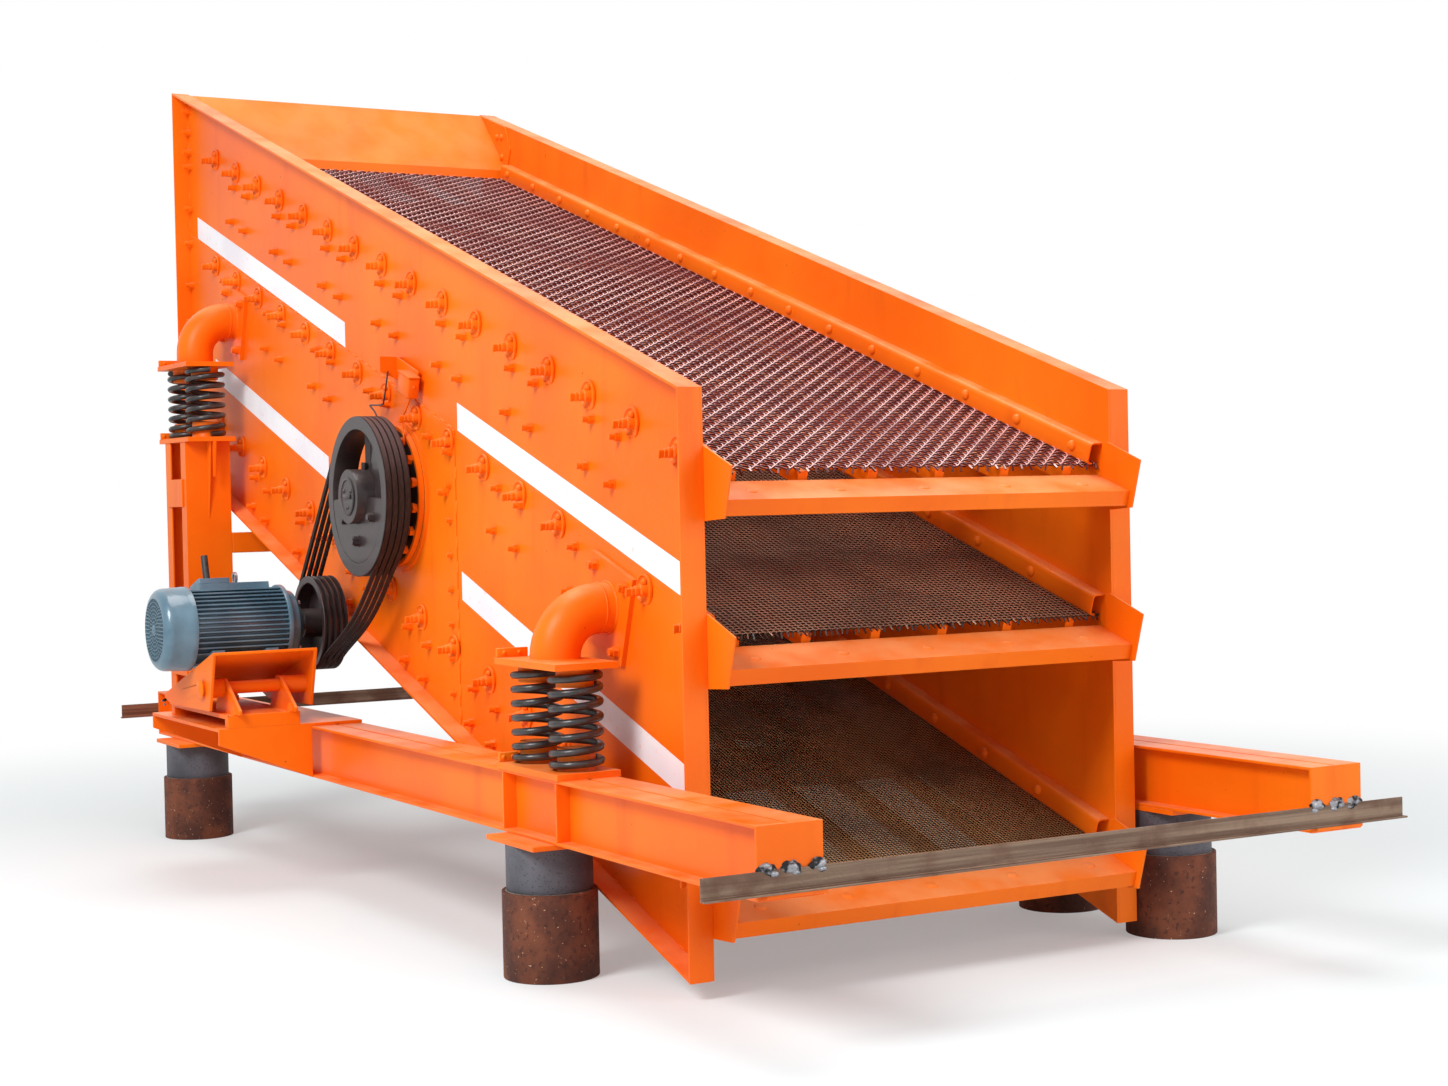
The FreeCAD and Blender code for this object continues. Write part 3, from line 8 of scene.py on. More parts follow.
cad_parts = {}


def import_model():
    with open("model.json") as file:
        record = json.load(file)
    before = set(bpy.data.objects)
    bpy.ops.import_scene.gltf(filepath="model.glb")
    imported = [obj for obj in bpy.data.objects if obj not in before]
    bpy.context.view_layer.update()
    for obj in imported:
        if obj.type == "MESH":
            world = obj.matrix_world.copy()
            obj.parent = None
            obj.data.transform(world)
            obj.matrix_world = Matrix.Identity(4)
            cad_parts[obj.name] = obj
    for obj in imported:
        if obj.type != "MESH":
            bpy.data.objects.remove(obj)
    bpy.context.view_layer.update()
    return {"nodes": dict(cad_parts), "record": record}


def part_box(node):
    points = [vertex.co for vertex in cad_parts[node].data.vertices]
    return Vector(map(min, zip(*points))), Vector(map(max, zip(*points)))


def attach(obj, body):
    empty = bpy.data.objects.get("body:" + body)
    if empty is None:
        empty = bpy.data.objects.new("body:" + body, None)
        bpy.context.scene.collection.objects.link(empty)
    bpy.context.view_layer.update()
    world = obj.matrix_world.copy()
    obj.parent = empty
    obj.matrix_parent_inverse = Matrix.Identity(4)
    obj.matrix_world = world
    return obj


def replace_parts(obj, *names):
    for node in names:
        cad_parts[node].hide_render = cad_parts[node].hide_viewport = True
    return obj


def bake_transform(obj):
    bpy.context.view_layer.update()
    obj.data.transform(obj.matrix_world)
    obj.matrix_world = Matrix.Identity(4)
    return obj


# Looks of an inclined three-deck vibrating sieve. Metres, in the row frame: X runs across the
# machine, Y from the discharge end up to the feed end, Z up.

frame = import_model()
random.seed(7)


def at(*place):
    """A move to a place given by its coordinates."""
    return Matrix.Translation(place)


def about(axis, angle):
    """A turn about one of the axes."""
    return Matrix.Rotation(angle, 4, axis)


def on_axis(x, centre, radius=0.0, angle=0.0):
    """A place on an axis along X, or at an angle and a distance round it."""
    return at(x, centre.y + radius * cos(angle), centre.z + radius * sin(angle))


def middle_of(node):
    """The centre of a node's box."""
    low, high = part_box(node)
    return (low + high) / 2


def radius_of(node):
    """Half the height of a node's box."""
    low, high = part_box(node)
    return (high.z - low.z) / 2


# Places, all worked out from the frame

INCLINE = radians(18.5)
SHAFT = middle_of("exciter_tube")
DECK = at(*SHAFT) @ about("X", INCLINE)
ACROSS = at(SHAFT.x, 0, 0) @ Matrix.Diagonal((-1, 1, 1, 1)) @ at(-SHAFT.x, 0, 0)
plate_low, plate_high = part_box("left_side_plate")
PLATE_OUT = SHAFT.x - plate_low.x
PLATE_IN = SHAFT.x - plate_high.x
doubler_low, doubler_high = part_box("side_doublers")
DOUBLER_OUT = SHAFT.x - doubler_low.x

# Turns after which a fitting's own Z points out from the left side, inwards, to the front or to the rear

OUTWARDS = Matrix(((0, 0, -1), (-1, 0, 0), (0, 1, 0))).to_4x4()
INWARDS = Matrix(((0, 0, 1), (1, 0, 0), (0, 1, 0))).to_4x4()
TO_FRONT = Matrix(((1, 0, 0), (0, 0, -1), (0, 1, 0))).to_4x4()
TO_REAR = Matrix(((-1, 0, 0), (0, 0, 1), (0, 1, 0))).to_4x4()


def deck_box(node):
    """A node's lowest and highest corners along the deck's own axes: across, along, above."""
    spots = [DECK.inverted() @ vertex.co for vertex in frame["nodes"][node].data.vertices]
    return [Vector(pick(axis) for axis in zip(*spots)) for pick in (min, max)]


DECKS = {name: deck_box(name + "_cloth") for name in ("top", "middle", "bottom")}
DOUBLER_TOP = deck_box("side_doublers")[1].z
elbow_low, elbow_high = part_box("support_elbows")
ELBOW_FLANGE = 0.350
flange_reach = ELBOW_FLANGE / 2 * (cos(INCLINE) + sin(INCLINE))
front_spring_low, front_spring_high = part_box("front_springs")
rear_spring_low, rear_spring_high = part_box("rear_springs")
FRONT_Y = middle_of("front_springs").y
REAR_Y = middle_of("rear_springs").y
RAIL_X = middle_of("left_rail_beams").x
ELBOWS = [(FRONT_Y, elbow_low.z + flange_reach), (REAR_Y, elbow_high.z - flange_reach)]


def deck_spot(y, z):
    """How far along and above the deck's axes a place given by its y and z lies."""
    spot = DECK.inverted() @ Vector((SHAFT.x, y, z))
    return spot.y, spot.z


# Shapes: each is a mesh in the making, and finished shapes are copied into larger ones


class Shape:
    def __init__(self):
        self.bm = bmesh.new()

    def add(self, shape, *places):
        """Copy a shape in, once at each place."""
        mesh = bpy.data.meshes.new("copy")
        shape.bm.to_mesh(mesh)
        for place in places or [Matrix()]:
            first = len(self.bm.verts)
            self.bm.from_mesh(mesh)
            self.bm.verts.ensure_lookup_table()
            bmesh.ops.transform(self.bm, matrix=place, verts=self.bm.verts[first:])
        bpy.data.meshes.remove(mesh)
        return self

    def mended(self, gap=0.0):
        """Join vertices that lie closer than the gap, and turn all faces outwards."""
        if gap:
            bmesh.ops.remove_doubles(self.bm, verts=self.bm.verts, dist=gap)
        bmesh.ops.recalc_face_normals(self.bm, faces=self.bm.faces)
        return self

    def moved(self, place):
        bmesh.ops.transform(self.bm, matrix=place, verts=self.bm.verts)
        return self

    def both_sides(self):
        """Add the same again on the other side of the machine's centre plane."""
        twin = bmesh.ops.duplicate(
            self.bm, geom=self.bm.verts[:] + self.bm.edges[:] + self.bm.faces[:]
        )["geom"]
        verts = [part for part in twin if isinstance(part, bmesh.types.BMVert)]
        faces = [part for part in twin if isinstance(part, bmesh.types.BMFace)]
        bmesh.ops.transform(self.bm, matrix=ACROSS, verts=verts)
        bmesh.ops.reverse_faces(self.bm, faces=faces)
        return self

    def piece(self, name, body="screen_box", finish="orange_paint", crease=35):
        """Make the shape a named piece that moves with a body of the frame, if there is one."""
        mesh = bpy.data.meshes.new(name)
        self.bm.to_mesh(mesh)
        self.bm.free()
        return mesh_piece(mesh, name, body, finish, crease)


def shown(name, data):
    """A new object in the scene."""
    thing = bpy.data.objects.new(name, data)
    bpy.context.scene.collection.objects.link(thing)
    return thing


def outcome(holder):
    """The mesh that an object's curve or modifiers make; the object itself goes."""
    bpy.context.view_layer.update()
    mesh = bpy.data.meshes.new_from_object(holder.evaluated_get(bpy.context.evaluated_depsgraph_get()))
    bpy.data.objects.remove(holder)
    return mesh


def mesh_piece(mesh, name, body, finish, crease):
    """Make a mesh a named piece; edges sharper than the crease angle, in degrees, stay hard."""
    mesh.shade_smooth()
    mesh.set_sharp_from_angle(angle=radians(crease))
    mesh.materials.clear()
    mesh.materials.append(finishes[finish])
    thing = shown(name, mesh)
    if body:
        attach(thing, body)
    return thing


def swept(bm, geom, steps, angle=tau, cent=(0, 0, 0), axis=(0, 0, 1), **settings):
    """Sweep an outline round an axis, or along a line; what the last step made is returned."""
    return bmesh.ops.spin(
        bm, geom=geom, cent=cent, axis=axis, angle=angle, steps=steps, **settings
    )["geom_last"]


def lathe(profile, steps=24):
    """A form turned about Z from pairs of radius and height, from axis to axis or in a closed line."""
    shape = Shape()
    verts = [shape.bm.verts.new((radius, 0, height)) for radius, height in profile]
    edges = [shape.bm.edges.new(ends) for ends in zip(verts, verts[1:])]
    swept(shape.bm, verts + edges, steps, use_merge=True)
    return shape.mended(1e-6)


def ring(profile, steps=48):
    """A ring turned about Z from a closed line of pairs of radius and height."""
    return lathe([*profile, profile[0]], steps)


def hoop(radius, thickness):
    """A round bead bent into a ring."""
    turns = [tau * step / 8 for step in range(8)]
    return ring([(radius + thickness * cos(turn), thickness * sin(turn)) for turn in turns])


def prism(sides, radius, height, foot=0.0):
    """An upright bar with this many sides, its lower end at the height of foot."""
    shape = Shape()
    place = at(0, 0, foot + height / 2)
    bmesh.ops.create_cone(
        shape.bm, cap_ends=True, segments=sides, radius1=radius, radius2=radius, depth=height, matrix=place
    )
    return shape


def block(low, high, rounding=0.0):
    """A box between two corners, its edges rounded."""
    shape = Shape()
    low, high = Vector(low), Vector(high)
    place = at(*(low + high) / 2) @ Matrix.Diagonal((*(high - low), 1))
    bmesh.ops.create_cube(shape.bm, size=1, matrix=place)
    if rounding:
        edges = shape.bm.edges[:]
        bmesh.ops.bevel(
            shape.bm, geom=edges, offset=rounding, affect="EDGES", segments=2, profile=0.5, material=-1
        )
    return shape


def sheet_metal(outline, wall):
    """A flat plate: an outline in x and y pulled along Z."""
    shape = Shape()
    face = shape.bm.faces.new([shape.bm.verts.new((x, y, 0)) for x, y in outline])
    pulled = bmesh.ops.extrude_face_region(shape.bm, geom=[face])["geom"]
    verts = [part for part in pulled if isinstance(part, bmesh.types.BMVert)]
    bmesh.ops.translate(shape.bm, vec=(0, 0, wall), verts=verts)
    return shape.mended()


def pipe(points, radius, sides=8):
    """A bent rod along a smooth line through the points."""
    curve = bpy.data.curves.new("pipe", "CURVE")
    curve.dimensions = "3D"
    curve.bevel_depth = radius
    curve.bevel_resolution = sides // 4
    curve.use_fill_caps = True
    line = curve.splines.new("NURBS")
    line.points.add(len(points) - 1)
    for point, place in zip(line.points, points):
        point.co = (*place, 1)
    line.order_u = 3
    line.use_endpoint_u = True
    mesh = outcome(shown("pipe", curve))
    shape = Shape()
    shape.bm.from_mesh(mesh)
    bpy.data.meshes.remove(mesh)
    return shape.mended(1e-6)


# Finishes: shader maths written as sums on fields


class Field:
    """A number or colour that changes over a surface, and the sums that can be done with it."""

    def __init__(self, finish, socket):
        self.finish = finish
        self.socket = socket

    def sum(self, operation, *values):
        return self.finish.node("Math", {"operation": operation}, dict(enumerate(values)))

    def __add__(self, other):
        return self.sum("ADD", self, other)

    def __mul__(self, other):
        return self.sum("MULTIPLY", self, other)

    def __rsub__(self, other):
        return self.sum("SUBTRACT", other, self)

    def step(self, low, high):
        """0 below low, 1 above high and smooth between."""
        sockets = {"Value": self, "From Min": low, "From Max": high}
        return self.finish.node("MapRange", {"interpolation_type": "SMOOTHSTEP"}, sockets)


class Finish:
    """The nodes of a material, or of the world, round one shader."""

    def __init__(self, owner, shader="Principled BSDF"):
        owner.use_nodes = True
        self.tree = owner.node_tree
        self.shader = self.tree.nodes[shader]
        self.place = self.node("TexCoord", {}, {}, "Object")

    def node(self, kind, settings, inputs, output=0):
        """Add a shader node with its settings and inputs, and give back one of its outputs."""
        made = self.tree.nodes.new("ShaderNode" + kind)
        for name, value in settings.items():
            setattr(made, name, value)
        for name, value in inputs.items():
            self.feed(made.inputs[name], value)
        return Field(self, made.outputs[output])

    def feed(self, socket, value):
        if isinstance(value, Field):
            self.tree.links.new(value.socket, socket)
        else:
            socket.default_value = value

    def wear(self, **sockets):
        """Set the shader's own sockets; an underscore stands for the space in a socket's name."""
        for name, value in sockets.items():
            self.feed(self.shader.inputs[name.replace("_", " ")], value)

    def stretched(self, x, y, z):
        """Places whose measures along the axes are multiplied, so that a pattern on them gets finer."""
        return self.node("Mapping", {}, {"Vector": self.place, "Scale": (x, y, z)})

    def cloud(self, scale, detail=3.0, place=None):
        """Soft noise around 0.5 in patches of about 1 / scale metres."""
        sockets = {"Vector": place or self.place, "Scale": scale, "Detail": detail}
        return self.node("TexNoise", {}, sockets, "Fac")

    def cells(self, scale):
        """How far the nearest of scattered points lies."""
        return self.node("TexVoronoi", {}, {"Vector": self.place, "Scale": scale}, "Distance")

    def coat(self, first, *layers):
        """The base colour: a first tone, and others laid over it, each with the share that it covers."""
        colour = tone(*first)
        for over, share in layers:
            colour = self.node("Mix", {"data_type": "RGBA"}, {0: share, 6: colour, 7: tone(*over)}, 2)
        self.wear(Base_Color=colour)

    def facing_up(self):
        """1 where the surface faces straight up, 0 where it is upright."""
        normal = self.node("NewGeometry", {}, {}, "Normal")
        return self.node("SeparateXYZ", {}, {0: normal}, "Z")

    def relief(self, height, depth):
        """Bump that stands this many metres proud where height is 1."""
        sockets = {"Height": height, "Distance": depth, "Strength": 1.0}
        self.wear(Normal=self.node("Bump", {}, sockets))


def tone(red, green, blue):
    """A colour written as it looks on a screen, from 0 to 255."""
    linear = []
    for level in (red, green, blue):
        share = level / 255
        linear.append(share / 12.92 if share < 0.04 else ((share + 0.055) / 1.055) ** 2.4)
    return (*linear, 1.0)


def orange_paint(finish):
    patches = finish.cloud(1.1)
    streaks = finish.cloud(1.0, 4.0, finish.stretched(7, 7, 0.8))
    # Up-facing surfaces turn pale in patches: dust, and painted light where the light from above falls on the
    # tops.
    dust_and_top_light = finish.facing_up().step(0.5, 0.98) * finish.cloud(5.0).step(0.2, 0.7)
    chips = finish.cloud(38.0, 5.0).step(0.735, 0.765)
    light = (250, 120, 15), patches.step(0.3, 0.7)
    deep = (218, 78, 4), streaks.step(0.56, 0.8) * 0.4
    finish.coat((240, 101, 5), light, deep, ((255, 190, 136), dust_and_top_light * 0.4), ((112, 46, 22), chips * 0.7))
    finish.wear(Roughness=patches * 0.16 + chips * 0.3 + 0.3, Specular_IOR_Level=0.2)
    finish.relief(finish.cloud(160.0, 2.0) * 0.0007 + finish.cloud(9.0, 2.0) * 0.0018, 1.0)


def stripe_paint(finish):
    scuffs = (236, 170, 130), finish.cloud(26.0, 6.0).step(0.62, 0.7) * 0.35
    finish.coat((250, 249, 252), ((232, 228, 236), finish.cloud(1.4).step(0.35, 0.7)), scuffs)
    finish.wear(Roughness=finish.cloud(8.0) * 0.2 + 0.32)


def wire(finish, dark, highlight_tone, rust):
    """Woven steel wire: a painted highlight in a pale tone on the up-facing crowns, its dark tone elsewhere,
    with patches of rust.
    """
    # Painted highlight: where the wire faces up, it takes the pale highlight tone.
    crown_highlight = finish.facing_up().step(0.5, 0.93)
    patches = finish.cloud(2.2, 4.0).step(0.4, 0.68)
    finish.coat(dark, (highlight_tone, crown_highlight * (1 - patches * 0.35)), (rust, patches * 0.4))
    finish.wear(Roughness=patches * 0.25 + 0.34, Metallic=0.2)
    finish.relief(finish.cloud(300.0), 0.0006)


# Each cloth's wire: its dark tone, the pale tone of the painted highlight on its crowns, and its rust.
def top_wire(finish):
    wire(finish, (72, 20, 26), (240, 190, 186), (124, 38, 36))


def middle_wire(finish):
    wire(finish, (15, 8, 6), (186, 146, 120), (92, 44, 24))


def bottom_wire(finish):
    wire(finish, (28, 18, 13), (216, 172, 118), (74, 46, 26))


def wheel_paint(finish):
    patches = finish.cloud(6.0, 4.0)
    # Paler on up-facing surfaces: dust, and painted light from above on the rim's top.
    dust_and_top_light = (114, 97, 95), finish.facing_up().step(0.2, 0.95) * 0.35
    finish.coat((46, 36, 36), ((65, 52, 52), patches.step(0.35, 0.7)), dust_and_top_light)
    finish.wear(Roughness=patches * 0.25 + 0.26, Metallic=0.25, Coat_Weight=0.2)
    finish.relief(finish.cloud(140.0), 0.0012)


def spring_steel(finish):
    patches = finish.cloud(14.0, 4.0)
    rust = (104, 82, 70), finish.cloud(40.0, 6.0).step(0.62, 0.74) * 0.6
    finish.coat((40, 36, 36), ((64, 58, 57), patches.step(0.4, 0.7)), rust)
    finish.wear(Roughness=patches * 0.2 + 0.24, Metallic=0.2, Coat_Weight=0.25)
    finish.relief(finish.cloud(220.0), 0.0007)


def bare_steel(finish):
    grain = finish.cloud(1.0, 5.0, finish.stretched(1.2, 60, 60))
    rust = finish.cloud(5.5, 5.0).step(0.5, 0.68)
    finish.coat((100, 76, 62), ((148, 122, 102), grain.step(0.3, 0.75)), ((96, 66, 52), rust * 0.65))
    finish.wear(Roughness=rust * 0.3 + 0.34, Metallic=0.6)
    finish.relief(finish.cloud(90.0, 5.0), 0.0012)


def motor_paint(finish):
    patches = finish.cloud(5.0, 3.0)
    # Paler on up-facing surfaces: dust, and painted light from above.
    dust_and_top_light = (140, 158, 166), finish.facing_up().step(0.6, 1.0) * 0.3
    finish.coat((74, 106, 124), ((98, 132, 150), patches.step(0.35, 0.7)), dust_and_top_light)
    finish.wear(Roughness=patches * 0.16 + 0.22, Coat_Weight=0.4, Coat_Roughness=0.12)
    finish.relief(finish.cloud(70.0, 2.0), 0.0008)


def belt_rubber(finish):
    scuffs = finish.cloud(30.0, 5.0, finish.stretched(6, 1, 1))
    # Paler grey on up-facing surfaces: dust, and painted light from above where the belts lie on the wheels.
    dust_and_top_light = (112, 100, 102), finish.facing_up().step(0.1, 0.95) * 0.5
    finish.coat((27, 20, 18), ((58, 43, 38), scuffs.step(0.45, 0.75)), dust_and_top_light)
    finish.wear(Roughness=scuffs * 0.3 + 0.42, Specular_IOR_Level=0.35)
    finish.relief(scuffs, 0.0008)


def rusty_pipe(finish):
    patches = finish.cloud(7.0, 5.0)
    flakes = finish.cloud(52.0, 6.0)
    dark = (58, 34, 28), flakes.step(0.55, 0.66) * 0.7
    specks = (206, 172, 142), finish.cloud(95.0, 2.0).step(0.705, 0.74)
    finish.coat((76, 38, 25), ((118, 64, 40), patches.step(0.35, 0.68)), dark, specks)
    finish.wear(Roughness=flakes * 0.2 + 0.7, Metallic=0.15)
    finish.relief(flakes * 0.003 + finish.cloud(12.0, 5.0) * 0.006, 1.0)


def grey_block(finish):
    patches = finish.cloud(4.0, 5.0)
    pits = finish.cells(90.0).step(0.12, 0.3)
    finish.coat((62, 62, 69), ((92, 91, 98), patches.step(0.35, 0.7)), ((48, 47, 53), 1 - pits))
    finish.wear(Roughness=patches * 0.2 + 0.5)
    finish.relief(pits * 0.0012 + finish.cloud(60.0) * 0.002, 1.0)


def shaft_steel(finish):
    turning = finish.cloud(1.0, 4.0, finish.stretched(260, 3, 3))
    finish.coat((140, 140, 144), ((182, 182, 186), turning.step(0.3, 0.7)))
    finish.wear(Roughness=turning * 0.15 + 0.26, Metallic=0.9)


def concrete_fill(finish):
    stones = finish.cells(42.0).step(0.1, 0.5)
    finish.coat((132, 126, 116), ((168, 162, 150), finish.cloud(9.0, 6.0)), ((110, 106, 98), 1 - stones))
    finish.wear(Roughness=stones * 0.1 + 0.8)
    finish.relief(stones * 0.004, 1.0)


def conduit_black(finish):
    grime = finish.cloud(24.0, 4.0)
    finish.coat((34, 33, 34), ((62, 60, 60), grime.step(0.4, 0.75)))
    finish.wear(Roughness=grime * 0.3 + 0.38)


def weld_metal(finish):
    soot = finish.cloud(34.0, 4.0).step(0.42, 0.58)
    finish.coat((150, 149, 154), ((32, 28, 29), soot))
    finish.wear(Roughness=soot * 0.4 + 0.32, Metallic=0.5)
    finish.relief(finish.cloud(160.0, 4.0), 0.002)


finishes = {}
for maker in (
    orange_paint, stripe_paint, top_wire, middle_wire, bottom_wire, wheel_paint, spring_steel, bare_steel,
    motor_paint, belt_rubber, rusty_pipe, grey_block, shaft_steel, concrete_fill, conduit_black, weld_metal,
):
    finishes[maker.__name__] = bpy.data.materials.new(maker.__name__)
    maker(Finish(finishes[maker.__name__]))

for subpart in frame["record"]["subparts"]:
    surface = frame["nodes"][subpart["node"]].data
    surface.materials.clear()
    surface.materials.append(finishes[subpart["material_slot"]])

# The lifting eye is plated, brighter than the other bare steel

frame["nodes"]["lifting_eye"].data.materials[0] = finishes["shaft_steel"]

# Rolled and pressed steel has soft edges: the nodes by the width of these, in millimetres

EDGE_WIDTHS = {
    1: "motor_frame",
    1.5: "left_side_plate right_side_plate front_tie_bar rear_tie_bar",
    2: "side_doublers lip_cheeks back_plate back_brackets rail_plates flywheel motor_pulley drive_end_bell",
    2.5: "edge_flanges",
    3: "discharge_lips feed_strip left_rail_beams right_rail_beams rail_pads left_column right_column "
    "lower_spring_seats upper_spring_seats support_elbows motor_bracket cradle_base motor_cradle "
    "stand_pipes eccentric_weights",
    4: "lubrication_box drive_pulley deck_cross_beams",
    5: "terminal_box",
    6: "column_tie stand_blocks",
}
for width, nodes in EDGE_WIDTHS.items():
    for node in nodes.split():
        solid = frame["nodes"][node]
        weld = solid.modifiers.new("weld", "WELD")
        weld.merge_threshold = 0.00001
        soften = solid.modifiers.new("edges", "BEVEL")
        soften.width = width / 1000
        soften.segments = 2
        soften.limit_method = "ANGLE"
        soften.angle_limit = radians(42)

# Bolts


def hex_bolt(size, head, stud=0.0):
    """A hexagon on a washer, with the stud's end standing out of it."""
    bolt = Shape().add(prism(16, size * 1.2, head * 0.16))
    bolt.add(prism(6, size, head, head * 0.15))
    if stud:
        bolt.add(prism(10, size * 0.7, stud, head))
    return bolt


def domed_bolt(radius, height, steps=16):
    """A round head, flat below and domed above."""
    arc = [(radius * cos(a), height * sin(a)) for a in (0, 0.5, 1.0)]
    return lathe([(0, -0.002), (radius, -0.002), *arc, (0, height)], steps)


def tension_bolt():
    """A clamp rail's fixing: thin dished washer, stepped nuts and stud that hang a little, a small screw."""
    rim = [(0, 0), (0.054, 0), (0.058, 0.006), (0.057, 0.013), (0.053, 0.014), (0.047, 0.007), (0.026, 0.005)]
    bolt = lathe(rim + [(0.024, 0.014), (0, 0.015)], 28)
    lean = about("X", radians(13))
    stack = [(0, 0.006), (0.024, 0.006), (0.0225, 0.026), (0.019, 0.03), (0.0165, 0.032), (0.0155, 0.046)]
    stack += [(0.0135, 0.05), (0.0115, 0.052), (0.011, 0.063), (0.0085, 0.066), (0.008, 0.086), (0, 0.09)]
    bolt.add(lathe(stack, 12), lean)
    bolt.add(domed_bolt(0.0125, 0.014, 10), at(0.002, 0.031, 0.012))
    return bolt


def skin(along, above):
    """How far out from the centre plane the plate's surface lies at a place on the deck's axes."""
    place = DECK @ Vector((0, along, above))
    doubled = place.y > doubler_low.y and above < DOUBLER_TOP
    return DOUBLER_OUT if doubled else PLATE_OUT


def clear_of_fittings(along, above, margin):
    """True where neither the exciter's ring nor an elbow's flange is in the way."""
    if hypot(along, above) < RING_RADIUS + margin:
        return False
    for y, z in ELBOWS:
        middle = deck_spot(y, z)
        reach = max(abs(along - middle[0]), abs(above - middle[1]))
        if reach < ELBOW_FLANGE / 2 + margin:
            return False
    return True


def on_plate(along, above, turn=0.0):
    """The place of a fitting that stands outwards on the side plate."""
    out = skin(along, above)
    return DECK @ at(-out, along, above) @ OUTWARDS @ about("Z", turn)


PLATE_BOLT = hex_bolt(0.0185, 0.02, 0.028)
RING_RADIUS = radius_of("reinforcing_rings")
BEAM_PITCH = 0.758
MIDDLE_BEAM = 0.354
BOLTS_PER_ROW = 16
BEAM_BOLT_SPREAD = 0.1175
BEAM_BOLT_DROPS = {"top": (0.037, 0.226), "middle": (-0.010, 0.178), "bottom": (0.053, 0.215)}
BOLTED_BEAMS = 3

# For each deck: the first tension bolt's place along it, their pitch and their height over the cloth

TENSION_ROWS = {
    "top": (3.124, 0.3752, 0.046),
    "middle": (2.956, 0.3825, 0.046),
    "bottom": (2.66, 0.383, 0.035),
}


def plate_bolts():
    """Rows of tension bolts, and four short bolts at each cross beam's end."""
    large = Shape()
    small = Shape()
    unit = tension_bolt()
    for name, (low, high) in DECKS.items():
        first, pitch, rise = TENSION_ROWS[name]
        for number in range(BOLTS_PER_ROW):
            spot = first - pitch * number, low.z + rise
            if spot[0] > low.y - 0.02 and clear_of_fittings(*spot, 0.03):
                large.add(unit, on_plate(*spot, random.uniform(-0.12, 0.12)))
        for beam in range(-BOLTED_BEAMS, BOLTED_BEAMS + 1):
            for side in (-BEAM_BOLT_SPREAD, BEAM_BOLT_SPREAD):
                for drop in BEAM_BOLT_DROPS[name]:
                    spot = MIDDLE_BEAM + BEAM_PITCH * beam + side, low.z - drop
                    if clear_of_fittings(*spot, 0.02):
                        small.add(PLATE_BOLT, on_plate(*spot, random.uniform(0, 1)))
    large.both_sides().piece("tension_bolts")
    small.both_sides().piece("beam_bolts")


def along_at(y, above):
    """Distance along the deck's axis of a place with this y, this far above the axis."""
    return (y - SHAFT.y + above * sin(INCLINE)) / cos(INCLINE)


DOUBLER_BOLT_PITCH = 0.145

# Heights above the deck's axis of the bolts beside the front and rear flanges

FRONT_SEAM = (0.812, 0.721, 0.300, 0.200, -0.575, -0.665)
REAR_SEAM = (1.155, 1.04, 0.93, 0.85, 0.62, 0.43, 0.2, 0.0, -0.2, -0.4, -0.62)


def seam_bolts():
    """Bolts beside the front and rear flanges and beside the doubler's front edge."""
    seam = Shape()
    flange_low, flange_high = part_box("edge_flanges")
    for heights, y in ((FRONT_SEAM, flange_low.y + 0.075), (REAR_SEAM, flange_high.y - 0.055)):
        for above in heights:
            seam.add(PLATE_BOLT, on_plate(along_at(y, above), above, random.uniform(0, 1)))
    for number in range(8):
        above = DOUBLER_TOP - 0.10 - DOUBLER_BOLT_PITCH * number
        along = along_at(doubler_low.y + 0.05, above)
        if hypot(along, above) > RING_RADIUS + 0.03:
            seam.add(hex_bolt(0.014, 0.014, 0.012), on_plate(along, above))
    seam.both_sides().piece("seam_bolts")


HOUSING_BOLTS = 16


def exciter_bolts():
    """Bolts round each bearing housing, and its painted rim."""
    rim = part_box("bearing_housings")[0].x + 0.028
    outer = radius_of("bearing_housings") + 0.001
    turns = [tau * (number + 0.5) / HOUSING_BOLTS for number in range(HOUSING_BOLTS)]
    places = [on_axis(rim, SHAFT, outer - 0.035, turn) @ OUTWARDS @ about("Z", turn) for turn in turns]
    Shape().add(hex_bolt(0.023, 0.022), *places).both_sides().piece("housing_bolts")
    near = outer - 0.020
    band = ring([(near, 0), (near, 0.003), (outer, 0.003), (outer, -0.022), (outer - 0.001, 0)], 72)
    band.moved(on_axis(rim, SHAFT) @ OUTWARDS)
    band.both_sides().piece("housing_rims")


def elbow_bolts():
    """Four bolts at the corners of each elbow's flange."""
    bolts = Shape()
    unit = hex_bolt(0.022, 0.02, 0.016)
    reach = ELBOW_FLANGE / 2 - 0.045
    for y, z in ELBOWS:
        along, above = deck_spot(y, z)
        middle = DECK @ at(-skin(along, above) - 0.020, along, above) @ OUTWARDS
        bolts.add(unit, *[middle @ at(side, rise, 0) for side in (-reach, reach) for rise in (-reach, reach)])
    bolts.both_sides().piece("elbow_bolts")


RAIL_WIDTH = 0.062
RAIL_HEIGHT = 0.095
RAIL_WALL = 0.006
RAIL_JOINT = 2.36
RAIL_ROUNDING = 0.02


